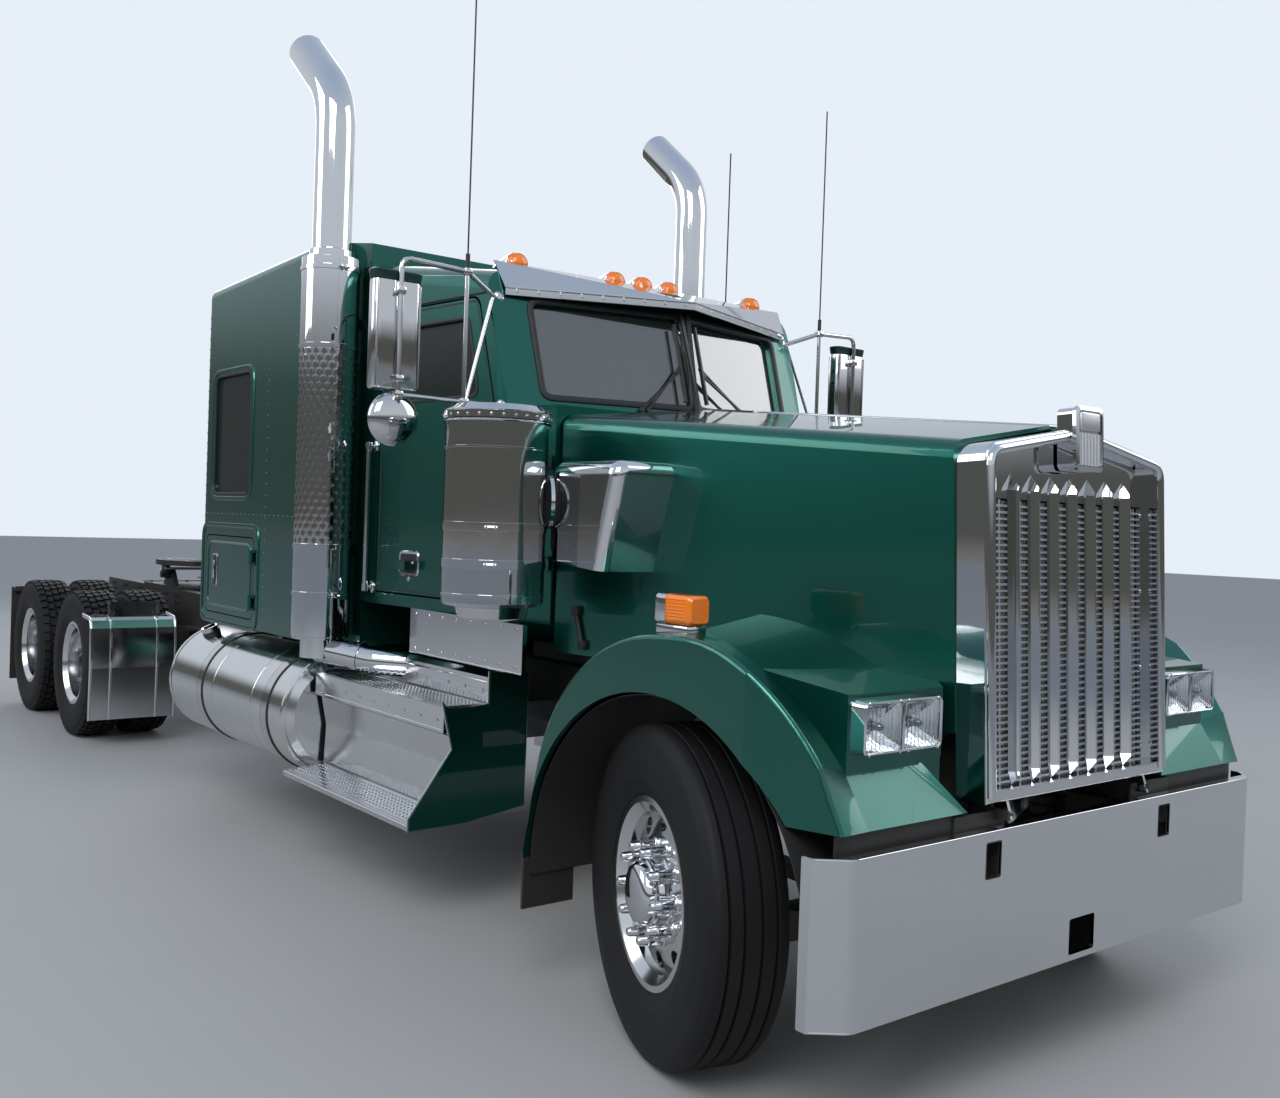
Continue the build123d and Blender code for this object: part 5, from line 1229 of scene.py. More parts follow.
def addPerforated(bm, s, axis):
    # sheet round the muffler with a staggered pattern of round holes
    turn, rise = math.tau / s["around"], (s["zone"][1] - s["zone"][0]) / s["rows"]

    def point(angle, z):
        return axis + Vector((s["guard"] * math.cos(angle), s["guard"] * math.sin(angle), z))

    ring = ((-1, -1), (0, -1), (1, -1), (1, 0), (1, 1), (0, 1), (-1, 1), (-1, 0))
    for j in range(s["rows"]):
        for i in range(s["around"]):
            a, z = (i + 0.5 * (j % 2)) * turn, s["zone"][0] + (j + 0.5) * rise
            outer = [bm.verts.new(point(a + u * turn / 2, z + v * rise / 2)) for u, v in ring]
            inner = []
            for u, v in ring:
                bearing = math.atan2(v, u)
                inner.append(bm.verts.new(point(a + s["hole"] * math.cos(bearing) / s["guard"],
                                                z + s["hole"] * math.sin(bearing))))
            for k in range(8):
                m = (k + 1) % 8
                bm.faces.new((outer[k], outer[m], inner[m], inner[k]))
    bmesh.ops.remove_doubles(bm, verts=bm.verts[:], dist=2e-5)


def makeStacks(s):
    axis = at(s["x"], s["y"], 0)
    bm = newBm()
    addPerforated(bm, s, axis)
    makePiece("stack_guards", bm, "bright_chrome")
    place = Matrix.Translation(axis)
    r, g, (z0, z1) = s["radius"], s["guard"], s["zone"]
    bm = newBm()
    addLathe(bm, ((r + 0.0006, z0), (r + 0.0006, z1)), place, 64)
    makePiece("stack_cores", bm, "engine_grey")
    bm = newBm()
    for low, high in ((s["low"], z0), (z1, s["top"])):
        addLathe(bm, ((r, low), (g, low + 0.002), (g, high), (r, high + 0.001), (r, low)), place, 64)
    x, y, top, p = (s[k] for k in ("x", "y", "top", "pipe"))
    bands = (s["bandZ"], top - 0.05)
    for z in (z0 - 0.006, z1 + 0.006, *bands):
        addLathe(bm, hoop(g, g + s["collar"], z, 0.012, 0.002, True), place, 64)
    addLathe(bm, ((p, top + 0.004), (p + 0.012, top + 0.008), (p + 0.012, top + 0.04), (p, top + 0.046)), place, 64)
    for z in bands:
        addBox(bm, at(x - 0.012, y - g - 0.02, z - 0.012), at(x + 0.012, y - g + 0.002, z + 0.012), 0.003)
        addRod(bm, at(x - 0.026, y - g - 0.01, z), at(x + 0.026, y - g - 0.01, z), 0.005, 8)
    makePiece("stack_collars", bm, "bright_chrome")


makeStacks(stackShape)

elbowShape = {
    "route": ((1.03, 2.479, 1.0225), (0.935, 2.345, 1.0), (0.8, 2.25, 0.99), (0.47, 2.235, 0.965)),
    "radius": 0.0655,
    "clamp": (0.985, 2.4155, 1.0118),
}


def makeElbows(s):
    # bright elbow from the foot of each stack in under the cab
    bm = newBm()
    route = [at(*p) for p in s["route"]]
    addPipe(bm, bendPoints(route, 0.16, 10), s["radius"], 36)
    along = (route[1] - route[0]).normalized()
    place = frameFrom(at(*s["clamp"]), along)
    r = s["radius"]
    addLathe(bm, hoop(r, r + 0.005, 0, 0.02, 0.001), place, 40)
    addRod(bm, place @ Vector((r + 0.012, -0.025, 0)), place @ Vector((r + 0.012, 0.025, 0)), 0.006, 8)
    makePiece("stack_elbows", bm, slotOf["exhaust_stacks"])


makeElbows(elbowShape)

# air cleaners and their ducts

cleanerShape = {
    "x": 1.12,
    "y": 1.03,
    "radius": 0.192,
    "bands": ((1.515, 0.017), (1.65, 0.017), (1.94, 0.004), (1.4, 0.006)),
    "ridge": 2.056,
    "ductZ": 1.7475,
    "ductRadius": 0.1,
    "ductEnd": (0.85, 0.905),
    "clamps": (0.203, 0.255),
}


def makeCleaners(s):
    place = Matrix.Translation(at(s["x"], s["y"], 0))
    r = s["radius"]
    bm = newBm()
    for z, half in s["bands"]:
        addLathe(bm, hoop(r - 0.001, r + 0.0035, z, half, 0.001), place, 72)
    for z in (s["ridge"] - 0.019, s["ridge"] + 0.019):
        addLathe(bm, ((r + 0.007, z - 0.004), (r + 0.0105, z), (r + 0.007, z + 0.004)), place, 72)
    for i in range(28):
        a = math.tau * i / 28
        out = Vector((math.cos(a), math.sin(a), 0))
        addHead(bm, "ridgeRivet", at(s["x"], s["y"], s["ridge"]) + out * (r + 0.008), out)
    for z, half in s["bands"][:2]:
        for a in (math.radians(-55), math.radians(125)):
            out, along = Vector((math.cos(a), math.sin(a), 0)), Vector((-math.sin(a), math.cos(a), 0))
            centre = at(s["x"], s["y"], z) + out * (r + 0.01)
            addRod(bm, centre - along * 0.022, centre + along * 0.022, 0.0045, 8)
            for k in (-1, 1):
                addRod(bm, centre + along * 0.012 * k, centre + along * 0.02 * k, 0.009, 6)
    end = Vector((s["ductEnd"][0] - s["x"], s["ductEnd"][1] - s["y"], 0)).normalized()
    d = s["ductRadius"]
    for reach in s["clamps"]:
        ring = frameFrom(at(s["x"], s["y"], s["ductZ"]) + end * reach, end)
        addLathe(bm, hoop(d, d + 0.003, 0, 0.008, 0.001, True), ring, 48)
    makePiece("cleaner_bands", bm, "bright_chrome")
    bm = newBm()
    # folds of the rubber duct
    for k in range(3):
        ring = frameFrom(at(s["x"], s["y"], s["ductZ"]) + end * (s["clamps"][0] + 0.016 + 0.01 * k), end)
        addLathe(bm, ((d, -0.004), (d + 0.006, 0), (d, 0.004)), ring, 48)
    makePiece("duct_folds", bm, "flap_rubber")


makeCleaners(cleanerShape)
print("steps, stacks and air cleaners dressed")


# nose trim

noseShape = {
    "y": -0.75,
    "bottom": 0.89,
    "lean": (0.055, 1.15),
    "badge": (0.075, 1.01, 1.21),
    "flutes": 7,
    "rimHalf": 0.479,
    "rimSide": 1.052,
    "rimPeak": 1.128,
    "rimRadius": 0.016,
    "screwX": 0.43,
    "screwRises": (0.1, 0.36, 0.62, 0.88),
}


def onNose(x, rise, out):
    # a point of the leaning nose plane: across, up the plane, out of it
    back, tall = noseShape["lean"]
    length = math.hypot(back, tall)
    c, t = tall / length, back / length
    return at(x, noseShape["y"] + rise * t - out * c, noseShape["bottom"] + rise * c + out * t)


def makeNose(s):
    bm = newBm()
    w, side, peak = s["rimHalf"], s["rimSide"], s["rimPeak"]
    route = [onNose(x, z, -0.002) for x, z in ((-w, 0.02), (-w, side - 0.006), (0, peak), (w, side - 0.006),
                                               (w, 0.02))]
    addPipe(bm, bendPoints(route, 0.055, 7), s["rimRadius"], 18)
    half, low, high = s["badge"]
    shape = roundedOutline(-half - 0.004, half + 0.004, low - 0.004, high + 0.004, 0.026)
    inner = roundedOutline(-half + 0.01, half - 0.01, low + 0.012, high - 0.01, 0.016)
    layers = ((shape, 0.018), (shape, 0.03), (inner, 0.034), (inner, 0.028))
    addSleeve(bm, [[onNose(a, b, out) for a, b in outline] for outline, out in layers], closed=True)
    for x in (-s["screwX"], s["screwX"]):
        for rise in s["screwRises"]:
            addHead(bm, "noseScrew", onNose(x, rise, -0.0468), onNose(0, 0, 1) - onNose(0, 0, 0))
    makePiece("nose_rims", bm, "bright_chrome", "hood", both=False)
    bm = newBm()
    step = (2 * half - 0.024) / s["flutes"]
    for i in range(s["flutes"]):
        x = -half + 0.012 + step * (i + 0.5)
        addRod(bm, onNose(x, low + 0.016, 0.0255), onNose(x, low + 0.118, 0.0255), step * 0.42, 12)
    made = addBox(bm, (-0.055, low + 0.124, 0.022), (0.055, high - 0.014, 0.036), 0.008, 3)
    for v in made:
        v.co = onNose(*v.co)
    makePiece("badge_blanks", bm, "bright_chrome", "hood", look="mesh_steel", both=False)


makeNose(noseShape)

# hood trim

hoodTrim = {
    "front": (-0.63, 0.497, 2.046),
    "rear": (1.1, 0.775, 2.185),
    "foot": (0.497, 0.79),
    "footZ": 0.895,
    "shoulderZ": (1.96, 0.14),
    "latchY": 0.955,
    "latchZ": (1.205, 1.335),
}


def hoodSide(y, z, out):
    # point of the hood's +X side, which widens toward the cab
    (y0, x0, _), (y1, x1, _) = hoodTrim["front"], hoodTrim["rear"]
    (foot0, foot1), low, (shoulderZ, climb) = (hoodTrim[k] for k in ("foot", "footZ", "shoulderZ"))
    t = (y - y0) / (y1 - y0)
    foot, shoulder = foot0 + t * (foot1 - foot0), x0 + t * (x1 - x0)
    rise = (z - low) / (shoulderZ + climb * t - low)
    return at(foot + (shoulder - foot) * rise + out, y, z)


def makeHoodTrim(s):
    bm = newBm()
    y, (z0, z1) = s["latchY"], s["latchZ"]
    pull = [hoodSide(y + a, z, 0.01) for a, z in ((-0.02, z0), (0.02, z1))]
    addRod(bm, pull[0], pull[1], 0.01, 12)
    for p, z in zip(pull, (z0, z1)):
        addBox(bm, p - Vector((0.012, 0.02, 0.018)), p + Vector((0.008, 0.02, 0.018)), 0.004)
    makePiece("hood_latches", bm, "flap_rubber", "hood")
    bm = newBm()
    for z in (z0 - 0.012, z1 + 0.012):
        addHead(bm, "latchScrew", hoodSide(y, z, 0.001), outX)
    # seam strip down the middle of the crown
    (y0, _, c0), (y1, _, c1) = s["front"], s["rear"]
    strip = [at(0, y0 + 0.006, c0 - 0.002), at(0, y1 - 0.01, c1 - 0.002)]
    addRod(bm, strip[0], strip[1], 0.0065, 12)
    makePiece("hood_strips", bm, "bright_chrome", "hood", both=False)


makeHoodTrim(hoodTrim)

# doors: handles, recesses and seals

doorTrim = {
    "handleY": (2.005, 2.11),
    "handleZ": (1.425, 1.51),
    "bezel": ((0.0, 0.001), (0.0, 0.005), (0.01, 0.006), (0.014, 0.001)),
    "outline": ((1.462, 1.342), (2.318, 1.342), (2.318, 2.598), (1.608, 2.598), (1.5, 2.236), (1.462, 2.086)),
    "edge": ((-0.004, -0.001), (-0.003, 0.0015), (0.0, 0.002), (0.003, 0.0015), (0.004, -0.001)),
}


def makeDoors(s):
    for side, word in bothSides:
        trim, dark, seal = newBm(), newBm(), newBm()
        (y0, y1), (z0, z1) = s["handleY"], s["handleZ"]
        addRecess(trim, dark, box2d(y0 - 0.012, y1 + 0.012, z0, z1), 0.014, onDoor, s["bezel"])
        grip = [onDoor(y, (z0 + z1) / 2 + 0.004, out) for y, out in
                ((y0 + 0.002, 0.008), (y0 + 0.014, 0.019), (y1 - 0.014, 0.019), (y1 - 0.002, 0.008))]
        addPipe(trim, bendPoints(grip, 0.012, 4), 0.007, 12)
        addLathe(trim, ((0.011, 0), (0.011, 0.004), (0.008, 0.006), (0, 0.006)),
                 frameFrom(onDoor((y0 + y1) / 2, z0 - 0.028, 0), (1, -0.09, 0)), 16)
        addSeal(seal, s["outline"], 0.03, onDoor, s["edge"], 4)
        makeSided(side, word, "door", ((trim, "door_handles", "bright_chrome"),
                                       (dark, "door_recesses", "black_plastic"),
                                       (seal, "door_edges", "flap_rubber")))


makeDoors(doorTrim)

# sleeper: locker latches, seams and rivets

sleeperTrim = {
    "latchY": (4.045, 4.105),
    "latchZ": (1.255, 1.42),
    "bezel": ((0.0, 0.001), (0.0, 0.004), (0.007, 0.005), (0.01, 0.001)),
    "rimOutline": box2d(3.545, 4.175, 1.145, 1.487),
    "rim": ((0.0, -0.001), (0.002, 0.003), (0.008, 0.005), (0.014, 0.003), (0.016, -0.001)),
    "rivetRows": (2.62, 3.36, 4.262),
    "rivetZ": (1.1, 2.86),
    "rivetStep": 0.06,
    "lockerClear": ((3.44, 4.27), 1.6),
    "seamZ": (1.655, 2.56),
    "seamRivets": (2.66, 0.058, 28),
}


def makeSleeper(s):
    for side, word in bothSides:
        trim, dark, rim = newBm(), newBm(), newBm()
        (y0, y1), (z0, z1) = s["latchY"], s["latchZ"]
        addRecess(trim, dark, box2d(y0, y1, z0, z1), 0.01, onSleeper, s["bezel"])
        mid = (y0 + y1) / 2
        addBox(trim, onSleeper(mid - 0.008, z0 + 0.03, 0.003), onSleeper(mid + 0.008, z1 - 0.03, 0.012), 0.004)
        addSeal(rim, s["rimOutline"], 0.045, onSleeper, s["rim"])
        makeSided(side, word, "luggage_door", ((trim, "locker_latches", "bright_chrome"),
                                               (dark, "locker_recesses", "black_plastic"),
                                               (rim, "locker_rims", "green_paint")))
    bm = newBm()
    lockerY, lockerTop = s["lockerClear"]
    count = int((s["rivetZ"][1] - s["rivetZ"][0]) / s["rivetStep"])
    for y in s["rivetRows"]:
        for i in range(count):
            z = s["rivetZ"][0] + s["rivetStep"] * i
            if not (lockerY[0] < y < lockerY[1] and z < lockerTop):
                addHead(bm, "rivet", onSleeper(y, z, 0), outX)
    first, step, number = s["seamRivets"]
    for z in s["seamZ"]:
        for i in range(number):
            addHead(bm, "rivet", onSleeper(first + i * step, z, 0), outX)
    makePiece("sleeper_rivets", bm, "green_paint")


makeSleeper(sleeperTrim)
print("nose, hood, doors and sleeper trimmed")


# fuel tanks and their straps

tankShape = {
    "x": 0.895,
    "z": 0.68,
    "radius": 0.305,
    "y": (2.76, 4.45),
    "seams": (3.19, 3.74),
    "straps": (3.0, 3.93),
    "cap": (1.032, 4.25, 0.968),
    "capTilt": (0.38, 0, 0.92),
    "capProfile": ((0.05, -0.03), (0.05, 0.004), (0.046, 0.008), (0.046, 0.02), (0.04, 0.026),
                   (0.012, 0.029), (0.0, 0.029)),
    "boltX": 0.64,
    "drainYs": (2.95, 4.25),
}


def makeTanks(s):
    place = frameFrom(at(s["x"], 0, s["z"]), outY)
    r, (y0, y1) = s["radius"], s["y"]
    bm = newBm()
    for y in s["seams"]:
        addLathe(bm, hoop(r - 0.001, r + 0.0015, y, 0.006, 0.004), place, 96)
    for y, k in ((y0, 1), (y1, -1)):
        addLathe(bm, ((r - 0.01, y + k * 0.002), (r + 0.002, y + k * 0.006), (r + 0.002, y + k * 0.022),
                      (r - 0.002, y + k * 0.026)), place, 96)
    makePiece("tank_seams", bm, "polished_aluminium")
    bm = newBm()
    # dark rubber rings at both edges of each strap; their dark colour also paints the shade in the gap between strap
    # and tank
    for y in s["straps"]:
        for edge in (-0.037, 0.037):
            addLathe(bm, hoop(r, r + 0.005, y + edge, 0.004, 0.001), place, 72)
    makePiece("strap_rubbers_and_gap_shade", bm, "flap_rubber")
    bm = newBm()
    cap = frameFrom(at(*s["cap"]), s["capTilt"])
    addLathe(bm, s["capProfile"], cap, 40)
    addBox(bm, (-0.034, -0.007, 0.026), (0.034, 0.007, 0.04), 0.004, 2, cap)
    makePiece("tank_caps", bm, "black_plastic")
    bm = newBm()
    for y in s["straps"]:
        for k in (-1, 1):
            for low, high, radius, sides in ((0.985, 1.03, 0.007, 8), (1.004, 1.014, 0.013, 6)):
                addRod(bm, *(at(s["boltX"], y + k * 0.018, z) for z in (low, high)), radius, sides)
    # drain and crossover fittings under each tank
    for y in s["drainYs"]:
        addRod(bm, at(s["x"], y, s["z"] - r - 0.012), at(s["x"], y, s["z"] - r + 0.004), 0.02, 6)
    makePiece("tank_fittings", bm, "polished_steel")


makeTanks(tankShape)

# quarter fenders and mud flaps

quarterShape = {
    "x": (0.668, 1.245),
    "y": 5.99,
    "profile": ((0.0, 0.205), (-0.012, 0.56), (0.0, 0.835), (0.022, 0.887), (0.06, 0.905), (0.21, 0.917)),
    "ribs": (0.8, 1.11),
    "plate": ((0.765, 0.905), (1.105, 1.005)),
    "flapX": (0.615, 1.21),
    "flapY": (8.5515, 8.5555),
    "flapBars": ((0.895, 0.935), (0.196, 0.246)),
    "flapBolts": (0.66, 0.8, 0.95, 1.1, 1.18),
}


def makeQuarters(s):
    x0, x1 = s["x"]
    bm = newBm()
    route = [(y, z) for y, z in s["profile"]]
    for x in s["ribs"]:
        addPipe(bm, bendPoints([at(x, s["y"] + y - 0.001, z) for y, z in route[:5]], 0.03, 4), 0.008, 10)
    for x in (x0 + 0.006, x1 - 0.006):
        addPipe(bm, bendPoints([at(x, s["y"] + y + 0.001, z) for y, z in route], 0.03, 4), 0.0095, 12)
    (a0, c0), (a1, c1) = s["plate"]
    outline = roundedOutline(a0, a1, c0, c1, 0.014)
    inner = roundedOutline(a0 + 0.014, a1 - 0.014, c0 + 0.014, c1 - 0.014, 0.01)
    y = s["y"] + 0.0865
    addSleeve(bm, [ringAt(outline, y), ringAt(outline, y - 0.004), ringAt(inner, y - 0.004), ringAt(inner, y)],
              closed=True)
    for x in (a0 + 0.04, a1 - 0.04):
        addRod(bm, at(x, y - 0.006, c0 + 0.03), at(x, y + 0.002, c0 + 0.03), 0.007, 8)
    for x in (0.72, 0.95, 1.18):
        for z in (0.812, 0.826):
            addRod(bm, at(x, s["y"] - 0.003, z), at(x, s["y"] + 0.005, z), 0.006, 6)
    makePiece("quarter_edges", bm, "bright_chrome")
    bm = newBm()
    for x in s["flapBolts"]:
        addRod(bm, at(x, 8.532, 0.915), at(x, 8.556, 0.915), 0.009, 6)
    for z0, z1 in s["flapBars"]:
        addBox(bm, at(s["flapX"][0], s["flapY"][0], z0), at(s["flapX"][1], s["flapY"][1], z1), 0.0015, 1)
    addRod(bm, at(1.198, 8.52, 0.95), at(1.203, 8.52, 0.95), 0.02, 20)
    makePiece("flap_weights", bm, "bright_chrome")


makeQuarters(quarterShape)

# rear end: lamps, frame, deck and coupler

rearShape = {
    "lampXs": (0.33, 0.2),
    "lampY": 8.595,
    "lampZ": 0.915,
    "railX": 0.432,
    "boltRows": (0.815, 0.875, 0.955, 1.01),
    "boltYs": (2.9, 3.55, 4.45, 5.25, 5.55, 6.1, 6.72, 7.0, 7.3, 7.66, 8.05, 8.4),
    "tankY": (4.72, 5.62),
    "tankZ": 0.7,
    "lens": ((0.0435, 0.0), (0.0435, 0.01), (0.04, 0.0155), (0.028, 0.019), (0.0, 0.0205)),
    "rim": ((0.05, 0.004), (0.05, 0.0115), (0.047, 0.014), (0.044, 0.012), (0.044, 0.004)),
    "lineZs": (0.985, 0.965, 0.945),
}


def makeRear(s):
    lens, rims, boxes = newBm(), newBm(), newBm()
    for x in s["lampXs"]:
        face = s["lampY"] - 0.016
        addBox(boxes, at(x - 0.055, s["lampY"] - 0.09, s["lampZ"] - 0.055), at(x + 0.055, face, s["lampZ"] + 0.055),
               0.008)
        place = frameFrom(at(x, s["lampY"] - 0.0205, s["lampZ"]), outY)
        addLathe(lens, s["lens"], place, 36)
        for r in (0.012, 0.022, 0.032):
            addLathe(lens, ((r - 0.002, 0.0175), (r, 0.0198), (r + 0.002, 0.0168)), place, 36)
        addLathe(rims, s["rim"], place, 36)
        for k in (-1, 1):
            addHead(rims, "lampScrew", at(x + k * 0.043, face, s["lampZ"] + k * 0.043), outY)
    makePiece("tail_boxes", boxes, "black_plastic", replaced=["tail_lamps"])
    makePiece("tail_lenses", lens, "red_plastic")
    makePiece("tail_rims", rims, "polished_steel")
    bm = newBm()
    for y in s["boltYs"]:
        for z in s["boltRows"]:
            for dy in (-0.03, 0.03):
                addRod(bm, at(s["railX"] - 0.001, y + dy, z), at(s["railX"] + 0.011, y + dy, z), 0.011, 6)
    makePiece("frame_bolts", bm, "chassis_black")
    # air tanks hung between the rails, and the lines along them
    bm = newBm()
    y0, y1 = s["tankY"]
    for x in (-0.185, 0.185):
        place = frameFrom(at(x, 0, s["tankZ"]), outY)
        addLathe(bm, ((0.0, y0), (0.06, y0 + 0.01), (0.105, y0 + 0.04), (0.118, y0 + 0.08), (0.118, y1 - 0.08),
                      (0.105, y1 - 0.04), (0.06, y1 - 0.01), (0.0, y1)), place, 40)
        for y in (y0 + 0.2, y1 - 0.2):
            addLathe(bm, hoop(0.119, 0.123, y, 0.02, 0.001), place, 40)
            addBox(bm, at(x - 0.02, y - 0.02, s["tankZ"] + 0.11), at(x + 0.02, y + 0.02, 0.862), 0.004)
    makePiece("air_tanks", bm, "chassis_black", both=False)
    bm = newBm()
    for k, z in enumerate(s["lineZs"]):
        x = 0.385 - 0.012 * k
        route = [at(x, 2.6, z), at(x, 4.4, z), at(x - 0.02, 4.6, z - 0.02), at(x - 0.02, 6.2, z - 0.02)]
        addPipe(bm, bendPoints(route, 0.05, 4), 0.007, 8)
    makePiece("air_lines", bm, "flap_rubber")


makeRear(rearShape)

deckShape = {
    "x": 0.385,
    "y": (4.375, 5.435),
    "z": 1.062,
    "pitch": 0.042,
    "lozenge": (0.0135, 0.0042, 0.0026),
    "boltX": 0.3,
    "boltInset": 0.05,
}


def makeDeck(s):
    # raised lozenges in a crossed pattern
    bm = newBm()
    y0, y1 = s["y"]
    across, along = int(2 * s["x"] / s["pitch"]), int((y1 - y0) / s["pitch"])
    for i in range(across):
        for j in range(along):
            centre = at((i + 0.5) * s["pitch"] - s["x"], y0 + (j + 0.5) * s["pitch"], s["z"])
            turn = Matrix.Translation(centre) @ Matrix.Rotation(math.radians(45 if (i + j) % 2 else -45), 4, "Z")
            bmesh.ops.create_cone(bm, cap_ends=True, segments=6, radius1=1.0, radius2=0.62, depth=1.0,
                                  matrix=turn @ Matrix.Diagonal((*s["lozenge"], 1)))
    for x in (-s["boltX"], s["boltX"]):
        for y in (y0 + s["boltInset"], (y0 + y1) / 2, y1 - s["boltInset"]):
            addHead(bm, "deckBolt", at(x, y, s["z"]), (0, 0, 1))
    makePiece("deck_lozenges", bm, slotOf["deck_plate"], both=False, recalc=False)


makeDeck(deckShape)

couplerShape = {
    "y": 7.13,
    "top": 1.265,
    "rings": (0.15, 0.235, 0.32, 0.4),
    "throat": -0.338,
    "arcs": ((-66, 38), (142, 246)),
    "arcSteps": 24,
    "rod": ((0.2, 0.02), (0.44, 0.02), -0.062),
    "handle": ((-0.15, -0.12), (-0.46, -0.12), (-0.49, -0.17)),
    "handleDrop": 0.066,
    "plateBolts": [(x, y) for x in (-0.3, 0.3) for y in (-0.2, 0.22)],
    "pinXs": (0.375, 0.425),
    "pinZ": 1.15,
    "pin": ((0.03, 0), (0.03, 0.006), (0.022, 0.009), (0, 0.01)),
    "footBolts": [(x, y) for x in (0.1, 0.25, 0.39) for y in (-0.38, 0.38)],
    "footZ": (1.064, 1.078),
}


def makeCoupler(s):
    bm = newBm()
    middle, top = s["y"], s["top"]
    # grease grooves: raised lands either side of the throat and the cut front edge
    for r in s["rings"]:
        for start, end in s["arcs"]:
            points = []
            for i in range(s["arcSteps"] + 1):
                a = math.radians(start + (end - start) * i / s["arcSteps"])
                if s["throat"] < r * math.sin(a):
                    points.append(at(r * math.cos(a), middle + r * math.sin(a), top - 0.0006))
            addPipe(bm, points, 0.003, 6)
    makePiece("coupler_grooves", bm, "chassis_black", "coupler", look="grease", both=False)
    bm = newBm()
    *ends, drop = s["rod"]
    addRod(bm, *(at(x, middle + y, top + drop) for x, y in ends), 0.011, 12)
    handle = [at(x, middle + y, top - s["handleDrop"]) for x, y in s["handle"]]
    addPipe(bm, bendPoints(handle, 0.03, 5), 0.01, 12)
    for x, y in s["plateBolts"]:
        addHead(bm, "plateBolt", at(x, middle + y, top), (0, 0, 1))
    makePiece("coupler_handles", bm, "chassis_black", "coupler", look="mesh_steel", both=False)
    bm = newBm()
    for x in s["pinXs"]:
        addLathe(bm, s["pin"], frameFrom(at(x, middle, s["pinZ"]), outX), 24)
    for x, y in s["footBolts"]:
        addRod(bm, *(at(x, middle + y, z) for z in s["footZ"]), 0.013, 6)
    makePiece("coupler_bolts", bm, "chassis_black")


makeCoupler(couplerShape)

# back wall of the sleeper

backShape = {
    "y": 4.32,
    "z": (1.12, 2.86),
    "seams": (0.36, 0.98),
    "lamp": (0.62, 2.42),
    "lampRing": ((0.066, 0), (0.066, 0.02), (0.06, 0.028), (0.056, 0.024)),
    "lampLens": ((0.057, 0.01), (0.05, 0.02), (0.03, 0.025), (0, 0.027)),
    "railX": 0.86,
    "railZ": (1.32, 1.95),
    "railOut": 0.055,
    "railFoot": ((0.03, 0), (0.03, 0.004), (0.024, 0.007), (0.0125, 0.008)),
    "coupling": ((0.034, 0), (0.034, 0.014), (0.026, 0.022), (0.026, 0.036), (0.018, 0.04), (0.0, 0.04)),
    "couplingXs": (-0.13, 0.0, 0.13),
}


def makeBack(s):
    bm = newBm()
    z0, z1 = s["z"]
    for x in s["seams"]:
        for i in range(29):
            addHead(bm, "rivet", at(x, s["y"], z0 + (z1 - z0) * i / 28), outY)
    for z in s["z"]:
        for i in range(16):
            addHead(bm, "rivet", at(0.02 + 0.94 * i / 15, s["y"], z), outY)
    makePiece("back_rivets", bm, "green_paint")
    trim, lens = newBm(), newBm()
    # two work lamps and the grab rail at the deck
    (lampX, lampZ), (low, high), x, y = s["lamp"], s["railZ"], s["railX"], s["y"]
    place = frameFrom(at(lampX, y + 0.001, lampZ), outY)
    addLathe(trim, s["lampRing"], place, 40)
    addLathe(lens, s["lampLens"], place, 40)
    out = y + s["railOut"]
    rail = [at(x, y, low), at(x, out, low), at(x, out, high), at(x, y, high)]
    addPipe(trim, bendPoints(rail, 0.025, 5), 0.0125, 14)
    for z in (low, high):
        addLathe(trim, s["railFoot"], frameFrom(at(x, y, z), outY), 20)
    makePiece("back_rails", trim, "polished_steel")
    makePiece("work_lenses", lens, "dark_glass", look="clear_glass")
    bm = newBm()
    # couplings for the trailer's air and power lines
    addBox(bm, at(-0.22, s["y"] + 0.0005, 1.16), at(0.22, s["y"] + 0.03, 1.3), 0.008)
    for x in s["couplingXs"]:
        addLathe(bm, s["coupling"], frameFrom(at(x, s["y"] + 0.029, 1.235), (0, 1, -0.25)), 24)
    makePiece("line_couplings", bm, "chassis_black", both=False)


makeBack(backShape)
print("tanks, fenders and rear end dressed")


# bumper edges, screen behind the grille, rails and small fixings

frontTrim = {
    "bumperHalf": 1.175,
    "bumperFace": -0.765,
    "bumperTurn": 0.095,
    "bumperWrap": 0.075,
    "bumperZ": (0.352, 0.815),
    "slots": ((0.48, 0.034, 0.68, 0.782), (0.0, 0.066, 0.375, 0.48)),
    "screenHalf": 0.427,
    "screenRise": (0.012, 0.906),
    "screenPitch": 0.0085,
}


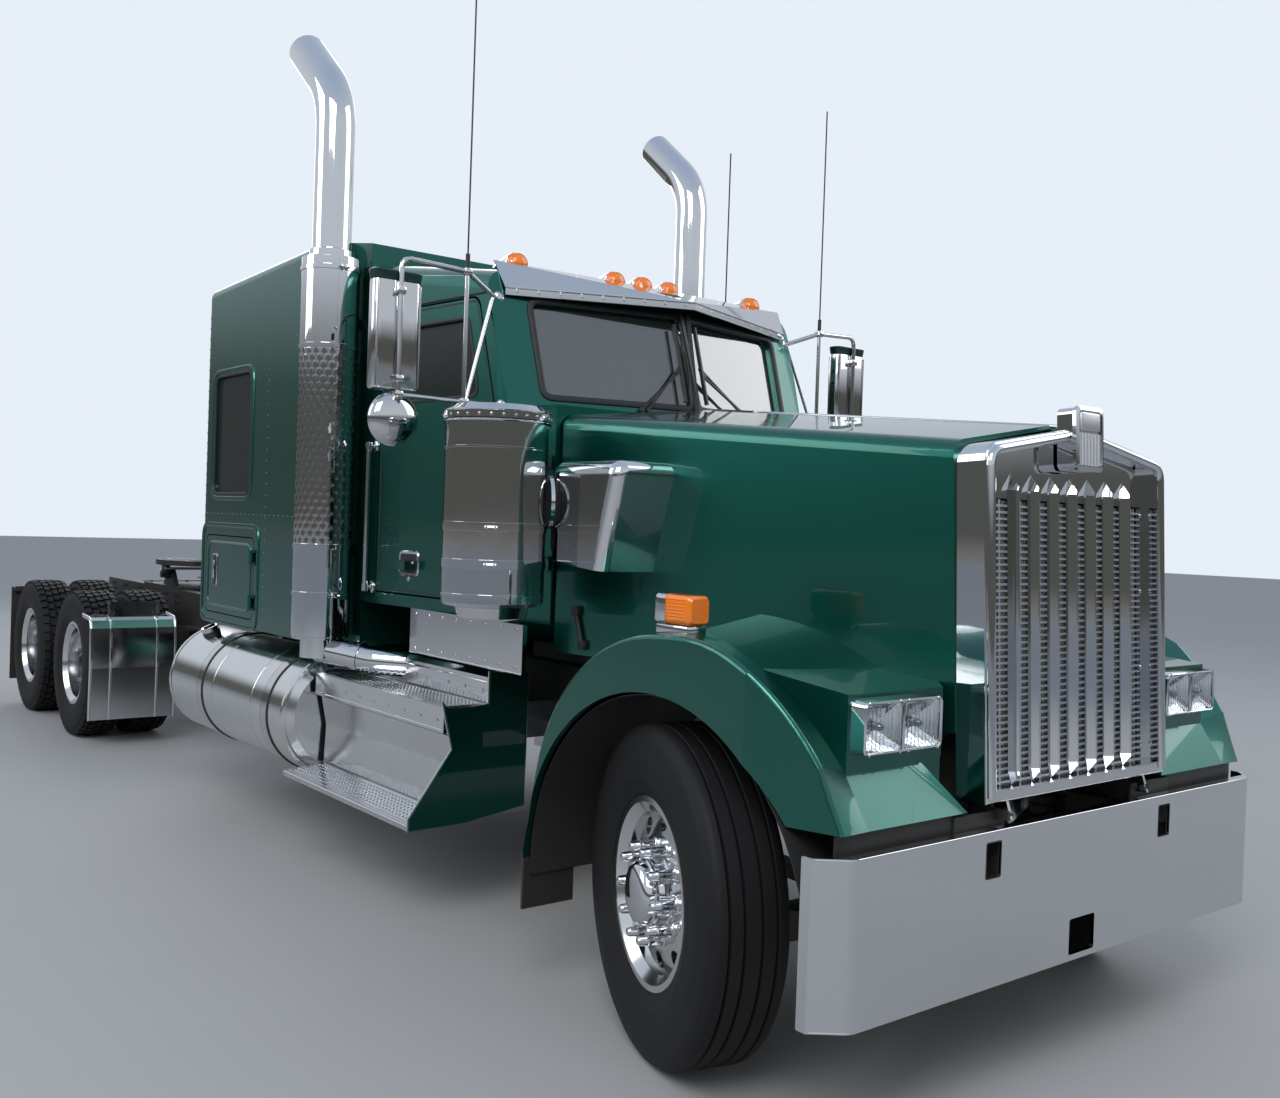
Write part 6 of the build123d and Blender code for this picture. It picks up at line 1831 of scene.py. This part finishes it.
def makeFrontTrim(s):
    bm = newBm()
    w, y, turn, wrap = s["bumperHalf"], s["bumperFace"], s["bumperTurn"], s["bumperWrap"]
    for z in (s["bumperZ"][0] + 0.003, s["bumperZ"][1] - 0.003):
        route = [at(0, y + 0.0044, z), at(w - turn, y + 0.0044, z), at(w - 0.0044, y + wrap, z),
                 at(w - 0.0044, y + 0.106, z)]
        addPipe(bm, bendPoints(route, 0.06, 8), 0.0042, 10)
    makePiece("bumper_edges", bm, "bright_chrome")
    bm = newBm()
    for x, half, z0, z1 in s["slots"]:
        inner = roundedOutline(x - half, x + half, z0, z1, 0.006)
        outer = roundedOutline(x - half - 0.004, x + half + 0.004, z0 - 0.004, z1 + 0.004, 0.008)
        addSleeve(bm, [ringAt(inner, y + 0.01), ringAt(inner, y - 0.0004), ringAt(outer, y - 0.0004),
                       ringAt(outer, y)], closed=True)
        if x == 0:
            addBox(bm, at(-half, y + 0.08, z0), at(half, y + 0.084, z1), 0.002)
        else:
            addRod(bm, at(x, y + 0.045, z0 - 0.02), at(x, y + 0.045, z1 + 0.02), 0.016, 16)
            addBox(bm, at(x - half, y + 0.08, z0), at(x + half, y + 0.084, z1), 0.002)
    makePiece("bumper_slots", bm, "chassis_black")
    bm = newBm()
    low, high = s["screenRise"]
    columns = int(2 * s["screenHalf"] / s["screenPitch"])
    rows = int((high - low) / s["screenPitch"])
    for i in range(columns + 1):
        x = -s["screenHalf"] + 2 * s["screenHalf"] * i / columns
        addRod(bm, onNose(x, low, -0.068), onNose(x, high, -0.068), 0.0012, 4)
    for j in range(rows + 1):
        rise = low + (high - low) * j / rows
        addRod(bm, onNose(-s["screenHalf"], rise, -0.0695), onNose(s["screenHalf"], rise, -0.0695), 0.0012, 4)
    makePiece("insect_screen", bm, "mesh_steel", "hood", both=False, recalc=False)


makeFrontTrim(frontTrim)

sideTrim = {
    "dripZ": 2.626,
    "sillX": 0.925,
    "sillY": (1.112, 2.03),
    "sillZ": (1.075, 1.27),
    "railX": 0.985,
    "railY": 2.375,
    "railZs": (1.342, 1.998),
    "railFoot": ((0.03, 0), (0.03, 0.005), (0.022, 0.01), (0.0105, 0.012)),
    "screwGaps": 7,
    "drip": ((0.876, 1.53), (0.95, 2.33), (0.95, 2.47)),
    "joint": ((0.1, 1.3), (0.93, 1.3), (0.93, 2.66), (0.84, 2.8), (0.1, 2.84)),
    "jointY": 2.509,
}


def makeSideTrim(s):
    bm = newBm()
    (y0, y1), (z0, z1) = s["sillY"], s["sillZ"]
    for i in range(s["screwGaps"] + 1):
        y = y0 + 0.05 + (y1 - y0 - 0.1) * i / s["screwGaps"]
        for z in (z0 + 0.022, z1 - 0.022):
            addHead(bm, "screw", at(s["sillX"], y, z), outX)
    addRod(bm, at(s["sillX"] - 0.004, y0, z0 + 0.003), at(s["sillX"] - 0.004, y1, z0 + 0.003), 0.006, 10)
    for z in s["railZs"]:
        addLathe(bm, s["railFoot"], frameFrom(at(0.95, s["railY"], z), outX), 24)
        addLathe(bm, hoop(0.012, 0.0155, 0, 0.02, 0.003), Matrix.Translation(at(s["railX"], s["railY"], z)), 20)
    makePiece("sill_fixings", bm, "bright_chrome")
    bm = newBm()
    addPipe(bm, bendPoints([at(x, y, s["dripZ"]) for x, y in s["drip"]], 0.1, 4), 0.0065, 10)
    # rubber joint between cab and sleeper
    addPipe(bm, bendPoints(ringAt(s["joint"], s["jointY"]), 0.08, 5), 0.009, 10)
    makePiece("drip_rails", bm, "flap_rubber")


makeSideTrim(sideTrim)

# inside the cab

cabinShape = {
    "seatX": 0.47,
    "wheel": (0.47, 1.64, 1.96),
    "wheelOut": (0, 0.19, 0.08),
    "wheelRadius": 0.2175,
    "hub": ((0.066, 0.0), (0.066, 0.026), (0.05, 0.036), (0.0, 0.039)),
    "cushion": (6, 1.715, 0.08),
    "backRibs": 7,
    "panels": (((0.16, 1.492, 1.9), (0.72, 1.512, 2.1), 0.012), ((-0.7, 1.492, 1.84), (0.1, 1.508, 2.06), 0.014),
               ((-0.3, 1.5, 1.36), (0.1, 1.62, 1.86), 0.03)),
    "dialStart": (0.215, 1.955),
    "dialPitch": 0.088,
    "dialRadii": (0.036, 0.028),
    "vents": (-0.6, -0.42, -0.24, -0.06),
    "vent": ((0.038, 0), (0.038, 0.005), (0.032, 0.007), (0.031, 0.002)),
    "lever": ((0.02, 1.78, 1.33), (0.02, 1.74, 1.62), (0.04, 1.72, 1.84)),
    "knob": ((0.0, 0.034), (0.02, 0.03), (0.03, 0.012), (0.028, -0.01), (0.016, -0.024), (0.01, -0.03)),
    "pedals": (0.4, 0.54, 0.3),
}


def makeCabin(s):
    bm = newBm()
    for x in (-s["seatX"], s["seatX"]):
        count, first, pitch = s["cushion"]
        for k in range(count):
            y = first + pitch * k
            addBox(bm, at(x - 0.235, y - 0.036, 1.69), at(x + 0.235, y + 0.036, 1.716), 0.012, 3)
        for k in range(s["backRibs"]):
            t = (k + 0.5) / (s["backRibs"] + 0.6)
            centre = at(x, 2.128 + 0.14 * t, 1.735 + 0.62 * t)
            lean = Matrix.Translation(centre) @ Matrix.Rotation(math.radians(-12.5), 4, "X")
            addBox(bm, (-0.222, -0.014, -0.036), (0.222, 0.014, 0.036), 0.012, 3, lean)
        addBox(bm, at(x - 0.13, 2.262, 2.352), at(x + 0.13, 2.345, 2.5), 0.03, 4)
        for k in (-1, 1):
            addBox(bm, at(x + k * 0.285 - 0.03, 1.9, 1.845), at(x + k * 0.285 + 0.03, 2.22, 1.885), 0.016, 3)
    makePiece("seat_covers", bm, "seat_leather", both=False)
    bm = newBm()
    place = frameFrom(at(*s["wheel"]), s["wheelOut"])
    r = s["wheelRadius"]
    ring = [place @ Vector((r * math.cos(a), r * math.sin(a), 0.014)) for a in (math.tau * i / 48 for i in range(48))]
    addPipe(bm, ring, 0.0165, 12, closed=True)
    addLathe(bm, s["hub"], place, 32)
    # instrument panel with its dials, and the vents beside it
    for low, high, soft in s["panels"]:
        addBox(bm, at(*low), at(*high), soft, 3)
    makePiece("dash_panels", bm, "black_plastic", both=False)
    bm, faces = newBm(), newBm()
    (dialX, dialZ), pitch, (large, small) = s["dialStart"], s["dialPitch"], s["dialRadii"]
    for i in range(6):
        for j in range(2):
            dial = frameFrom(at(dialX + pitch * i, 1.512, dialZ + pitch * j), outY)
            radius = large if i in (2, 3) else small
            addLathe(bm, ((radius + 0.005, 0), (radius + 0.005, 0.005), (radius, 0.007), (radius - 0.001, 0.002)),
                     dial, 28)
            addLathe(faces, ((radius, 0.0015), (0.0, 0.0015)), dial, 28)
            addBox(faces, (-0.0012, -0.004, 0.002), (0.0012, radius * 0.75, 0.0035), 0, 1,
                   dial @ Matrix.Rotation(math.radians(-120 + 37 * ((i * 3 + j) % 7)), 4, "Z"))
    for x in s["vents"]:
        vent = frameFrom(at(x, 1.508, 1.985), outY)
        addLathe(bm, s["vent"], vent, 28)
        for k in range(5):
            addBox(bm, (-0.03, -0.0245 + 0.0115 * k, 0.0), (0.03, -0.0215 + 0.0115 * k, 0.003), 0, 1, vent)
    makePiece("dial_rims", bm, "bright_chrome", both=False)
    makePiece("dial_faces", faces, "black_plastic", look="dial_white", both=False)
    bm = newBm()
    addPipe(bm, bendPoints([at(*p) for p in s["lever"]], 0.2, 6), 0.01, 12)
    addLathe(bm, s["knob"], frameFrom(at(0.04, 1.72, 1.86), (0.1, -0.1, 1)), 24)
    for x in s["pedals"]:
        addBox(bm, at(x - 0.032, 1.43, 1.42), at(x + 0.032, 1.455, 1.52), 0.006)
    makePiece("floor_controls", bm, "black_plastic", look="flap_rubber", both=False)


makeCabin(cabinShape)
print("front, sides and cabin finished")
